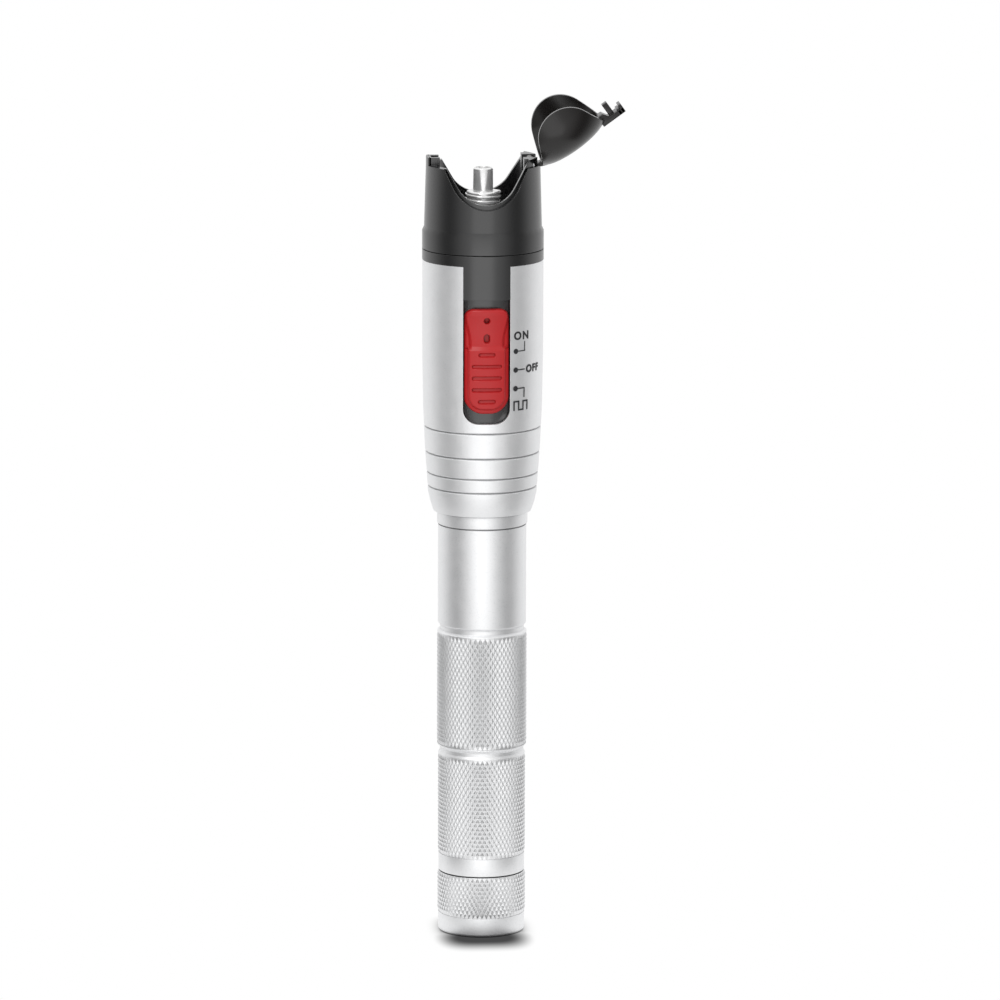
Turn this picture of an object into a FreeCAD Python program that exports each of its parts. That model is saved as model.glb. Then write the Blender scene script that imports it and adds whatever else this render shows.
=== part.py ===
"""Pen-shaped visual fault locator for fibre links: battery barrel, head, slide switch, hinged dust cap.

The frame has +Z up the axis, the origin at the centre of the flat tail face, and the switch on
the -Y side. Every size is in millimetres. The sheet "Sizes" drives the model: single sizes are
plain numbers and levels along the axis are formulas of them.
"""
import FreeCAD, Part
import math
import os

import Sketcher

DOC = FreeCAD.newDocument("VisualFaultLocator")
SHEET = DOC.addObject("Spreadsheet::Sheet", "Sizes")
NODES = []

# Single sizes, each written once.
SIZES = {
    # clearances and seams
    "seam": 0.25,              # visible line between tail cap and barrel
    "slip_fit": 0.10,          # radial play of parts that push into each other
    "turn_fit": 0.05,          # radial play of parts that turn or slide on each other
    "part_gap": 0.20,          # open gap between a moving part and its neighbour
    # tail cap
    "tail_len": 13.15,
    "tail_radius": 9.25,
    "tail_plain_len": 4.2,
    "tail_knurl_root": 9.15,
    "tail_foot_cut": 0.55,
    "tail_floor": 2.5,
    "tail_pocket_radius": 7.5,
    "tail_pocket_top": 4.6,
    "contact_thick": 0.6,
    "tail_spring_space": 4.0,
    "tail_spring_radius": 4.0,
    "tail_spring_wire": 0.45,
    "tail_spring_pitch": 1.35,
    # battery barrel
    "cell_radius": 7.15,
    "cell_len": 50.5,
    "cell_nub_len": 1.2,
    "cell_nub_radius": 2.75,
    "barrel_bore": 7.4,
    "tail_spigot_radius": 8.5,
    "tail_spigot_len": 8.25,
    "band_radius": 9.2,
    "band_len": 3.8,
    "rear_grip_root": 9.07,
    "rear_grip_rim": 9.3,
    "rear_grip_len": 21.85,
    "grip_rim_len": 0.2,
    "groove_radius": 8.95,
    "groove_bevel": 0.6,
    "groove_flat": 0.75,
    "front_grip_root": 9.32,
    "front_grip_rim": 9.55,
    "front_grip_len": 24.65,
    "relief_flat": 1.0,
    "relief_bevel": 0.4,
    "plain_radius": 9.42,
    "neck_radius": 9.65,
    "neck_len": 2.65,
    "neck_line_radius": 9.2,
    "neck_line_len": 0.3,
    "head_spigot_radius": 8.75,
    "head_spigot_len": 15.6,
    "ring_section": 0.4,       # half the thickness of the barrel's O-ring
    "ring_from_neck": 1.3,
    "tail_ring_section": 0.33,
    "tail_ring_from_band": 1.15,
    "ring_nip": 0.03,          # play between an O-ring and its groove or bore
    # head shell
    "head_radius": 12.85,
    "head_taper_len": 31.0,
    "head_low_radius": 11.55,
    "head_mouth_radius": 10.45,
    "head_lip_radius": 11.1,
    "head_lip_len": 1.9,
    "head_lip_step": 2.0,
    "ledge_from_mouth": 17.8,
    "head_wall": 1.65,
    "line_depth": 0.32,
    "line_len": 0.55,
    "line_a": 5.3,             # four turned lines, heights above the head's mouth
    "line_b": 8.3,
    "line_c": 12.75,
    "line_d": 18.2,
    "slot_width": 10.0,
    "slot_low": 20.35,          # slot's lowest point above the head's mouth
    # contact stack at the head's ledge
    "insulator_len": 2.0,
    "insulator_hole": 3.2,
    "board_thick": 1.6,
    "button_low_radius": 1.4,
    "button_top_radius": 2.6,
    # inner chassis
    "chassis_wall": 2.1,
    "chassis_shelf_len": 1.45,
    "chassis_shelf": 0.8,
    "collar_len": 2.3,
    "collar_proud": 0.05,      # collar and nose stand this proud of the head
    "collar_bore_depth": 0.8,
    "tongue_len": 7.05,
    "tongue_side_gap": 0.05,
    "window_half_width": 1.4,
    # slide switch
    "knob_width": 9.6,
    "knob_len": 22.4,
    "knob_from_slot": 2.25,
    "knob_top_round": 2.2,
    "knob_low_round": 4.0,
    "knob_travel": 1.7,
    "knob_plate_thick": 1.25,
    "knob_pad_rise": 0.6,
    "pad_inset": 0.85,
    "pad_len": 13.7,
    "pad_top_round": 1.3,
    "dish_radius": 19.0,
    "dish_depth": 0.45,
    "rib_count": 5,
    "rib_pitch": 2.55,
    "rib_first": 1.8,
    "rib_depth": 0.45,
    "rib_width": 1.0,
    "rib_long": 6.3,
    "rib_short": 3.8,
    "round_hole": 0.68,
    "round_hole_from_top": 2.5,
    "oval_hole": 0.7,
    "oval_hole_from_top": 6.6,
    "oval_hole_stretch": 0.6,
    "switch_half_width": 2.0,
    "switch_half_len": 4.3,
    "switch_wall": 0.35,
    "actuator_half_width": 0.9,
    "actuator_half_len": 1.2,
    # circuit board
    "pcb_half_width": 4.8,
    "pcb_thick": 1.6,
    "pcb_back": 5.0,
    "pcb_len": 29.0,
    "switch_depth": 1.9,
    "chip_width": 4.0,
    "chip_len": 5.0,
    "chip_thick": 1.5,
    "chip_from_board": 3.0,
    # laser module
    "laser_radius": 4.0,
    "laser_len": 22.0,
    "laser_tip_depth": 0.1,
    "laser_seat_bore": 2.85,
    "laser_seat_len": 5.1,
    "laser_beam_bore": 2.0,
    "lens_from_tip": 9.5,
    "laser_front_bore": 3.05,
    "diode_base_radius": 2.75,
    "diode_base_thick": 1.2,
    "diode_can_radius": 2.3,
    "diode_can_len": 2.6,
    "diode_set_in": 0.6,
    "lead_radius": 0.23,
    "lead_spread": 1.27,
    "lead_drop": 3.5,
    "lens_radius": 3.0,
    "lens_edge": 1.1,
    "lens_bulge": 0.9,
    "lens_ring_len": 1.7,
    "lens_ring_bore": 2.3,
    # fibre connector
    "connector_flange_radius": 7.5,
    "connector_flange_thick": 1.6,
    "connector_sleeve_radius": 5.4,
    "connector_sleeve_len": 7.0,
    "connector_light_hole": 1.6,
    "connector_light_len": 2.4,
    "stub_radius": 3.85,
    "stub_height": 8.7,        # threaded stub above its flange
    "stub_chamfer": 0.3,
    "tube_radius": 2.1,
    "tube_bore": 1.62,
    "tube_rise": 4.95,         # guide tube above the stub
    "tube_chamfer": 0.2,
    "sleeve_bore": 1.255,      # for a 2.5 mm ferrule
    "sleeve_set_in": 0.95,
    "sleeve_len": 12.0,
    "nut_flats": 10.0,
    "nut_thick": 1.8,
    # nose housing
    "nose_seam": 0.2,
    "nose_base_len": 3.7,
    "nose_step_len": 0.9,
    "nose_step": 0.42,
    "nose_taper": 0.38,        # from the step up to the skin's top
    "nose_len": 19.45,          # seam to horn tops
    "nose_skin_drop": 2.4,     # outer skin stops this far below the horn tops
    "nose_skin_thick": 0.55,   # at the skin's top, outside the lip
    "nose_lip_wall": 1.15,
    "nose_floor_up": 3.4,
    "nose_floor": 1.6,
    "nose_spigot_len": 3.3,
    "nose_spigot_wall": 1.5,
    "u_centre_drop": 2.3,      # arc centre below the horn tops
    "u_skin_radius": 7.75,
    "u_skin_flare": 9.6,
    "u_lip_radius": 6.8,
    "u_lip_flare": 9.2,
    # hinge
    "hinge_drop": 1.4,         # pin below the horn tops
    "pin_radius": 0.6,
    "pin_half_len": 5.2,
    "knuckle_radius": 1.3,
    "knuckle_half_len": 2.1,
    "ear_half_thick": 1.6,
    "ear_depth": 3.4,
    "ear_end": 5.2,
    # dust cap
    "cap_wall": 1.1,
    "cap_rise": 2.1,           # crown above the horn tops
    "cap_corner_share": 0.609,     # shoulder's radius as a share of the cap's
    "cap_crown_share": 2.435,
    "cap_u_radius": 6.45,
    "cap_u_flare": 7.9,
    "root_share": 0.626,       # where arm and latch plate meet the dome, as a share of its radius
    "arm_rise": 2.4,
    "arm_thick": 0.75,
    "sill_across": 1.45,       # stop for the open arm, from the pin
    "sill_drop": 1.1,
    "latch_thick": 1.1,
    "latch_half_width": 2.5,
    "prong_half_thick": 0.5,
    "prong_half_width": 1.25,
    "prong_len": 3.5,
    "nail_thick": 0.45,
    "nail_len": 1.2,
    "nib_from_end": 0.75,
    "nib_len": 0.8,
    "open_angle": 144.0,
}


class Dim:
    """A size that knows its value and the sheet formula it comes from."""

    def __init__(self, value, formula):
        self.value = float(value)
        self.formula = formula

    def __add__(self, other):
        other = as_dim(other)
        return Dim(self.value + other.value, f"({self.formula} + {other.formula})")

    def __radd__(self, other):
        return as_dim(other) + self

    def __sub__(self, other):
        other = as_dim(other)
        return Dim(self.value - other.value, f"({self.formula} - {other.formula})")

    def __rsub__(self, other):
        return as_dim(other) - self

    def __mul__(self, other):
        other = as_dim(other)
        return Dim(self.value * other.value, f"({self.formula} * {other.formula})")

    def __rmul__(self, other):
        return as_dim(other) * self

    def __truediv__(self, other):
        other = as_dim(other)
        return Dim(self.value / other.value, f"({self.formula} / {other.formula})")

    def __neg__(self):
        return Dim(-self.value, f"(0 - {self.formula})")

    def sqrt(self):
        return Dim(math.sqrt(self.value), f"sqrt({self.formula})")


def as_dim(number):
    """Plain numbers join in with sizes."""
    return number if isinstance(number, Dim) else Dim(number, repr(float(number)))


def cell(name, text, value):
    """Put one named cell on the sheet and return it as a size."""
    row = cell.row
    cell.row += 1
    SHEET.set(f"A{row}", name)
    SHEET.set(f"B{row}", text)
    SHEET.setAlias(f"B{row}", name)
    return Dim(value, f"Sizes.{name}")


cell.row = 1


class Sheet:
    """The sheet's cells by name: single sizes from the table, and levels worked out from them."""

    def __init__(self, table):
        for name, value in table.items():
            setattr(self, name, cell(name, str(value), value))

    def level(self, name, size):
        formula = "=" + size.formula.replace("Sizes.", "")
        setattr(self, name, cell(name, formula, size.value))


S = Sheet(SIZES)


def levels_of_the_barrel():
    """Heights of tail cap, cells and barrel; the barrel's length follows from its two cells."""
    S.level("plate_low", S.tail_floor + S.slip_fit)
    S.level("plate_top", S.plate_low + S.contact_thick)
    S.level("cells_low", S.plate_top + S.tail_spring_space)
    S.level("cells_top", S.cells_low + 2 * S.cell_len)
    S.level("barrel_top", S.cells_top - S.cell_nub_len + 2 * S.part_gap)
    S.level("band_low", S.tail_len + S.seam)
    S.level("band_top", S.band_low + S.band_len)
    S.level("rear_grip_top", S.band_top + S.rear_grip_len)
    S.level("front_grip_low", S.rear_grip_top + 2 * S.groove_bevel + S.groove_flat)
    S.level("front_grip_top", S.front_grip_low + S.front_grip_len)
    S.level("plain_low", S.front_grip_top + 2 * S.relief_bevel + S.relief_flat)
    S.level("neck_top", S.barrel_top - S.head_spigot_len)
    S.level("neck_low", S.neck_top - S.neck_len)
    S.level("ring_mid", S.neck_top + S.ring_from_neck)
    S.level("tail_ring_mid", S.band_low - S.tail_ring_from_band)


def levels_of_the_head():
    """Heights of head, chassis, switch, laser, connector, nose and hinge."""
    S.level("mouth", S.neck_top + S.slip_fit)
    S.level("ledge", S.mouth + S.ledge_from_mouth)
    S.level("taper_low", S.mouth + S.head_lip_len + S.head_lip_step)
    S.level("board_low", S.barrel_top + S.insulator_len)
    S.level("board_top", S.board_low + S.board_thick)
    S.level("chamber_radius", S.head_radius - S.head_wall)
    S.level("chassis_radius", S.chamber_radius - S.slip_fit)
    S.level("chassis_bore", S.chassis_radius - S.chassis_wall)
    S.level("slot_floor", S.mouth + S.slot_low)
    S.level("knob_low", S.slot_floor + S.knob_from_slot)
    S.level("knob_top", S.knob_low + S.knob_len)
    S.level("knob_mid", (S.knob_low + S.knob_top) / 2)
    S.level("knob_back", S.chassis_radius + S.part_gap)
    S.level("tongue_low", S.knob_top + S.knob_travel + S.part_gap)
    S.level("head_top", S.tongue_low + S.tongue_len)
    S.level("collar_top", S.head_top + S.collar_len)
    S.level("nose_low", S.collar_top + S.nose_seam)
    S.level("horn_top", S.nose_low + S.nose_len)
    S.level("floor_low", S.nose_low + S.nose_floor_up)
    S.level("floor_top", S.floor_low + S.nose_floor)
    S.level("flange_low", S.floor_low - S.connector_flange_thick)
    S.level("stub_top", S.floor_low + S.stub_height)
    S.level("tube_top", S.stub_top + S.tube_rise)
    S.level("tube_low", S.flange_low + S.connector_light_len)
    S.level("laser_top", S.flange_low - S.laser_tip_depth)
    S.level("laser_low", S.laser_top - S.laser_len)
    S.level("lens_low", S.laser_top - S.lens_from_tip)
    S.level("u_centre", S.horn_top - S.u_centre_drop)
    S.level("hinge_height", S.horn_top - S.hinge_drop)
    S.level("crown_top", S.horn_top + S.cap_rise)
    S.level("latch_top", S.crown_top - 3 * S.part_gap)
    S.level("latch_low", S.latch_top - S.latch_thick)
    S.level("cap_low", S.u_centre - S.cap_u_radius - S.cap_wall)


def radii_of_the_nose():
    """Radii of collar, nose and cap, and how far out the hinge is: all follow the head's radius."""
    S.level("collar_radius", S.head_radius + S.collar_proud)
    S.level("nose_step_radius", S.collar_radius - S.nose_step)
    S.level("nose_top_radius", S.nose_step_radius - S.nose_taper)
    S.level("nose_lip_radius", S.nose_top_radius - S.nose_skin_thick)
    S.level("nose_bore", S.nose_lip_radius - S.nose_lip_wall)
    S.level("collar_bore", S.nose_bore - S.part_gap)
    S.level("cap_radius", S.nose_lip_radius - S.turn_fit)
    S.level("cap_corner", S.cap_radius * S.cap_corner_share)
    S.level("cap_crown", S.cap_radius * S.cap_crown_share)
    S.level("root_across", S.cap_radius * S.root_share)
    S.level("ear_outer", S.nose_lip_radius - S.turn_fit)
    S.level("hinge_across", S.ear_outer - S.ear_half_thick)
    S.level("ear_inner", S.hinge_across - S.ear_half_thick)


levels_of_the_barrel()
levels_of_the_head()
radii_of_the_nose()
DOC.recompute()


# ---- building blocks -------------------------------------------------------------------------

def bind(thing, path, size):
    """Give a property its size and keep it tied to the sheet."""
    thing.setExpression(path, as_dim(size).formula)


def origin_plane(body, role):
    """One of a body's own origin planes, such as XZ_Plane."""
    return next(item for item in body.Origin.OriginFeatures if item.Role == role)


def new_body(label):
    body = DOC.addObject("PartDesign::Body", "Body")
    body.Label = label
    return body


def arc_between(start, end, radius, left_turn):
    """The shorter arc from start to end; left_turn means it bends to the left on its way."""
    half = (end - start) * 0.5
    reach = math.sqrt(max(radius ** 2 - half.Length ** 2, 0.0))
    side = FreeCAD.Vector(-half.y, half.x, 0).normalize()
    centre = start + half + side * (reach if left_turn else -reach)
    first, last = (start, end) if left_turn else (end, start)
    angles = [math.atan2(p.y - centre.y, p.x - centre.x) for p in (first, last)]
    if angles[1] < angles[0]:
        angles[1] += 2 * math.pi
    circle = Part.Circle(centre, FreeCAD.Vector(0, 0, 1), radius)
    return Part.ArcOfCircle(circle, angles[0], angles[1])


def place_corner(sketch, side, end, across, up):
    """Tie one corner of a sketch to its two sizes from the origin."""
    for kind, size, axis in (("DistanceX", across, -2), ("DistanceY", up, -1)):
        if size.value == 0.0 and size.formula == "0.0":
            sketch.addConstraint(Sketcher.Constraint("PointOnObject", side, end, axis))
            continue
        number = sketch.addConstraint(Sketcher.Constraint(kind, -1, 1, side, end, size.value))
        name = f"{kind}_{side}"
        sketch.renameConstraint(number, name)
        bind(sketch, f"Constraints.{name}", size)


def outline(body, role, corners, arcs=None):
    """A closed outline through its corners; arcs gives side number: (radius, left_turn)."""
    arcs = arcs or {}
    sketch = body.newObject("Sketcher::SketchObject", "Outline")
    sketch.AttachmentSupport = (origin_plane(body, role), [""])
    sketch.MapMode = "FlatFace"
    corners = [(as_dim(across), as_dim(up)) for across, up in corners]
    points = [FreeCAD.Vector(across.value, up.value, 0) for across, up in corners]
    ends = []
    for side, start in enumerate(points):
        end = points[(side + 1) % len(points)]
        radius, left_turn = arcs.get(side, (None, True))
        if radius is None:
            sketch.addGeometry(Part.LineSegment(start, end), False)
        else:
            sketch.addGeometry(arc_between(start, end, as_dim(radius).value, left_turn), False)
        ends.append((1, 2) if left_turn else (2, 1))
    for side in range(len(points)):
        following = (side + 1) % len(points)
        joint = ("Coincident", side, ends[side][1], following, ends[following][0])
        sketch.addConstraint(Sketcher.Constraint(*joint))
    for side, (across, up) in enumerate(corners):
        place_corner(sketch, side, ends[side][0], across, up)
    for side, (radius, _) in arcs.items():
        radius = as_dim(radius)
        number = sketch.addConstraint(Sketcher.Constraint("Radius", side, radius.value))
        sketch.renameConstraint(number, f"Radius_{side}")
        bind(sketch, f"Constraints.Radius_{side}", radius)
    return sketch


def revolve(label, corners, arcs=None):
    """A turned solid: corners are (radius, height) pairs."""
    body = new_body(label)
    sketch = outline(body, "XZ_Plane", corners, arcs)
    turned = body.newObject("PartDesign::Revolution", "Revolution")
    turned.Profile = sketch
    turned.ReferenceAxis = (sketch, ["V_Axis"])
    turned.Angle = 360
    return body


def groove(body, corners, arcs=None):
    """A turned cut in a body."""
    sketch = outline(body, "XZ_Plane", corners, arcs)
    turned = body.newObject("PartDesign::Groove", "Groove")
    turned.Profile = sketch
    turned.ReferenceAxis = (sketch, ["V_Axis"])
    turned.Angle = 360


def prism(label, corners, arcs, length, both_ways=False):
    """A solid with an XZ outline; it grows towards -Y, or equally both ways."""
    body = new_body(label)
    sketch = outline(body, "XZ_Plane", corners, arcs)
    pad = body.newObject("PartDesign::Pad", "Pad")
    pad.Profile = sketch
    pad.SideType = "Symmetric" if both_ways else "One side"
    bind(pad, "Length", length)
    return body


def cylinder(label, radius, low, high):
    item = DOC.addObject("Part::Cylinder", "Cylinder")
    item.Label = label
    bind(item, "Radius", radius)
    bind(item, "Height", as_dim(high) - low)
    bind(item, "Placement.Base.z", low)
    return item


def cross_cylinder(label, radius, half_len, across, height):
    """A cylinder along Y, centred on the XZ plane."""
    item = DOC.addObject("Part::Cylinder", "CrossCylinder")
    item.Label = label
    bind(item, "Radius", radius)
    bind(item, "Height", 2 * as_dim(half_len))
    item.Placement = FreeCAD.Placement(FreeCAD.Vector(), FreeCAD.Rotation(FreeCAD.Vector(1, 0, 0), -90))
    bind(item, "Placement.Base.x", across)
    bind(item, "Placement.Base.y", -as_dim(half_len))
    bind(item, "Placement.Base.z", height)
    return item


def box(label, xs, ys, zs):
    """A block between pairs of low and high sizes along each axis."""
    item = DOC.addObject("Part::Box", "Box")
    item.Label = label
    for side, axis, (low, high) in (("Length", "x", xs), ("Width", "y", ys), ("Height", "z", zs)):
        bind(item, side, as_dim(high) - low)
        bind(item, f"Placement.Base.{axis}", low)
    return item


def cut(label, base, tool):
    item = DOC.addObject("Part::Cut", "Cut")
    item.Label = label
    item.Base = base
    item.Tool = tool
    return item


def common(label, first, second):
    item = DOC.addObject("Part::Common", "Common")
    item.Label = label
    item.Base = first
    item.Tool = second
    return item


def fuse(label, pieces):
    item = DOC.addObject("Part::MultiFuse", "Fusion")
    item.Label = label
    item.Shapes = pieces
    item.Refine = True
    return item


def tube(label, outer, inner, low, high):
    return cut(label, cylinder(label + " outside", outer, low, high),
               cylinder(label + " bore", inner, as_dim(low) - 1, as_dim(high) + 1))


def node(item):
    """Mark a finished sub-part for export under its label."""
    NODES.append(item)
    return item


def tangent_point(radius, across, rise):
    """Where a line from (across, rise) touches the lower right of a circle about the origin."""
    square = across * across + rise * rise
    reach = (square - radius * radius).sqrt()
    across_at = (radius * radius * across + radius * reach * rise) / square
    rise_at = (radius * radius * rise - radius * reach * across) / square
    return across_at, rise_at


def u_prism(label, radius, flare, top, depth):
    """A U along Y, open at the top: a round bottom with sides that flare to the horn tops."""
    rise = S.u_centre_drop
    across, lift = tangent_point(radius, flare, rise)
    slope = (flare - across) / (rise - lift)
    reach = flare + slope * (top - S.horn_top)
    corners = [
        (-across, S.u_centre + lift),
        (0, S.u_centre - radius),
        (across, S.u_centre + lift),
        (reach, top),
        (-reach, top),
    ]
    return prism(label, corners, {0: (radius, True), 1: (radius, True)}, depth, both_ways=True)


# ---- tail and barrel ----------------------------------------------------------------------------

def tail_cap():
    """Screw cap: knurled skirt round the barrel's spigot, pocket for contact plate and spring."""
    skirt_bore = S.tail_spigot_radius + S.slip_fit
    corners = [
        (0, 0),
        (S.tail_radius - S.tail_foot_cut, 0),
        (S.tail_radius, S.tail_foot_cut),
        (S.tail_radius, S.tail_plain_len),
        (S.tail_knurl_root, S.tail_plain_len),
        (S.tail_knurl_root, S.tail_len),
        (skirt_bore, S.tail_len),
        (skirt_bore, S.tail_pocket_top),
        (S.tail_pocket_radius, S.tail_pocket_top),
        (S.tail_pocket_radius, S.tail_floor),
        (0, S.tail_floor),
    ]
    node(revolve("tail_cap", corners))


def tail_contact():
    """Contact plate on the cap's floor, and the spring that presses the cells forward."""
    plate_radius = S.tail_pocket_radius - S.part_gap
    node(cylinder("tail_contact_plate", plate_radius, S.plate_low, S.plate_top))
    helix = DOC.addObject("Part::Helix", "Helix")
    helix.Label = "tail spring path"
    first_turn = S.plate_top + S.tail_spring_wire
    bind(helix, "Radius", S.tail_spring_radius)
    bind(helix, "Pitch", S.tail_spring_pitch)
    bind(helix, "Height", S.tail_spring_space - 2 * S.tail_spring_wire - S.slip_fit)
    bind(helix, "Placement.Base.z", first_turn)
    helix.SegmentLength = 1
    wire = DOC.addObject("Part::RegularPolygon", "Polygon")
    wire.Label = "tail spring wire"
    wire.Polygon = 6
    bind(wire, "Circumradius", S.tail_spring_wire)
    wire.Placement = FreeCAD.Placement(FreeCAD.Vector(), FreeCAD.Rotation(FreeCAD.Vector(1, 0, 0), 90))
    bind(wire, "Placement.Base.x", S.tail_spring_radius)
    bind(wire, "Placement.Base.z", first_turn)
    spring = DOC.addObject("Part::Sweep", "Sweep")
    spring.Label = "tail_spring"
    spring.Sections = [wire]
    spring.Spine = (helix, [])
    spring.Solid = True
    spring.Frenet = True
    node(spring)


def barrel():
    """One long tube: tail spigot, plain band, two knurled grips, plain stretch, neck, head spigot."""
    ring_floor = S.head_spigot_radius - 2 * S.ring_section + 2 * S.ring_nip
    ring_low = S.ring_mid - S.ring_section - S.ring_nip
    ring_high = S.ring_mid + S.ring_section + S.ring_nip
    tail_floor = S.tail_spigot_radius - 2 * S.tail_ring_section + S.ring_nip
    tail_low = S.tail_ring_mid - S.tail_ring_section - S.ring_nip
    tail_high = S.tail_ring_mid + S.tail_ring_section + S.ring_nip
    spigot_end = S.band_low - S.tail_spigot_len
    first_flat = S.rear_grip_top + S.groove_bevel
    relief = S.front_grip_top + S.relief_bevel
    corners = [
        (S.barrel_bore, spigot_end),
        (S.tail_spigot_radius, spigot_end),
        (S.tail_spigot_radius, tail_low),
        (tail_floor, tail_low),
        (tail_floor, tail_high),
        (S.tail_spigot_radius, tail_high),
        (S.tail_spigot_radius, S.band_low),
        (S.band_radius, S.band_low),
        (S.band_radius, S.band_top),
        (S.rear_grip_root, S.band_top),
        (S.rear_grip_root, S.rear_grip_top - S.grip_rim_len),
        (S.rear_grip_rim, S.rear_grip_top - S.grip_rim_len),
        (S.rear_grip_rim, S.rear_grip_top),
        (S.groove_radius, first_flat),
        (S.groove_radius, first_flat + S.groove_flat),
        (S.front_grip_rim, S.front_grip_low),
        (S.front_grip_rim, S.front_grip_low + S.grip_rim_len),
        (S.front_grip_root, S.front_grip_low + S.grip_rim_len),
        (S.front_grip_root, S.front_grip_top - S.grip_rim_len),
        (S.front_grip_rim, S.front_grip_top - S.grip_rim_len),
        (S.front_grip_rim, S.front_grip_top),
        (S.groove_radius, relief),
        (S.groove_radius, relief + S.relief_flat),
        (S.plain_radius, S.plain_low),
        (S.plain_radius, S.neck_low - S.neck_line_len),
        (S.neck_line_radius, S.neck_low - S.neck_line_len),
        (S.neck_line_radius, S.neck_low),
        (S.neck_radius, S.neck_low),
        (S.neck_radius, S.neck_top),
        (S.head_spigot_radius, S.neck_top),
        (S.head_spigot_radius, ring_low),
        (ring_floor, ring_low),
        (ring_floor, ring_high),
        (S.head_spigot_radius, ring_high),
        (S.head_spigot_radius, S.barrel_top),
        (S.barrel_bore, S.barrel_top),
    ]
    node(revolve("barrel", corners))


def o_ring(label, outer, section, height):
    """A pressed rubber ring: flat where it meets groove and bore, bevelled between."""
    inner = outer - 2 * section
    corners = [
        (inner, height - section / 2),
        (outer - section, height - section),
        (outer, height - section / 2),
        (outer, height + section / 2),
        (outer - section, height + section),
        (inner, height + section / 2),
    ]
    node(revolve(label, corners))


def o_rings():
    o_ring("barrel_o_ring", S.head_spigot_radius + 2 * S.ring_nip, S.ring_section, S.ring_mid)
    o_ring("tail_o_ring", S.tail_spigot_radius + S.ring_nip, S.tail_ring_section, S.tail_ring_mid)


def battery_cell(label, low):
    """An AA cell: a can with the small positive cap on top."""
    can_top = low + S.cell_len - S.cell_nub_len
    corners = [
        (0, low),
        (S.cell_radius, low),
        (S.cell_radius, can_top),
        (S.cell_nub_radius, can_top),
        (S.cell_nub_radius, low + S.cell_len),
        (0, low + S.cell_len),
    ]
    node(revolve(label, corners))


def battery_cells():
    for place, label in enumerate(("cell_rear", "cell_front")):
        battery_cell(label, S.cells_low + place * S.cell_len)


def front_contacts():
    """Insulator on the barrel's end, contact board above it and the button that meets the cell."""
    node(tube("contact_insulator", S.head_spigot_radius, S.insulator_hole, S.barrel_top, S.board_low))
    node(cylinder("front_contact_board", S.head_spigot_radius - S.slip_fit, S.board_low, S.board_top))
    button = DOC.addObject("Part::Cone", "Cone")
    button.Label = "front_contact"
    button_low = S.cells_top + S.slip_fit
    bind(button, "Radius1", S.button_low_radius)
    bind(button, "Radius2", S.button_top_radius)
    bind(button, "Height", S.board_low - button_low)
    bind(button, "Placement.Base.z", button_low)
    node(button)


# ---- head ---------------------------------------------------------------------------------------

def head_surface(height):
    """Outer radius of the tapered stretch: an arc that runs tangent into the straight upper part."""
    drop = S.head_taper_len
    narrow = S.head_radius - S.head_low_radius
    bend = (drop * drop + narrow * narrow) / (2 * narrow)
    below = S.taper_low + drop - height
    return S.head_radius - bend + (bend * bend - below * below).sqrt()


def head_shell():
    """Turned aluminium shell with a tapered waist, four turned lines and the switch slot."""
    bore = S.head_spigot_radius + S.slip_fit
    taper = []
    for share in (0, 0.3, 0.6, 1):
        height = S.taper_low + share * S.head_taper_len
        taper.append((head_surface(height), height))
    corners = [
        (bore, S.mouth),
        (S.head_mouth_radius, S.mouth),
        (S.head_lip_radius, S.mouth + S.head_lip_len),
        *taper,
        (S.head_radius, S.head_top),
        (S.chamber_radius, S.head_top),
        (S.chamber_radius, S.ledge),
        (bore, S.ledge),
    ]
    shell = revolve("head_shell", corners)
    for above_mouth in (S.line_a, S.line_b, S.line_c, S.line_d):
        middle = S.mouth + above_mouth
        surface = head_surface(middle)
        line = [
            (surface - S.line_depth, middle),
            (surface + S.line_len, middle - S.line_len - S.line_depth),
            (surface + S.line_len, middle + S.line_len + S.line_depth),
        ]
        groove(shell, line)
    half = S.slot_width / 2
    open_top = S.head_top + S.slot_width
    corners = [
        (-half, S.slot_floor + half),
        (0, S.slot_floor),
        (half, S.slot_floor + half),
        (half, open_top),
        (-half, open_top),
    ]
    sketch = outline(shell, "XZ_Plane", corners, {0: (half, True), 1: (half, True)})
    slot = shell.newObject("PartDesign::Pocket", "Slot")
    slot.Profile = sketch
    slot.Type = "ThroughAll"
    slot.Reversed = True
    node(shell)


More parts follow.
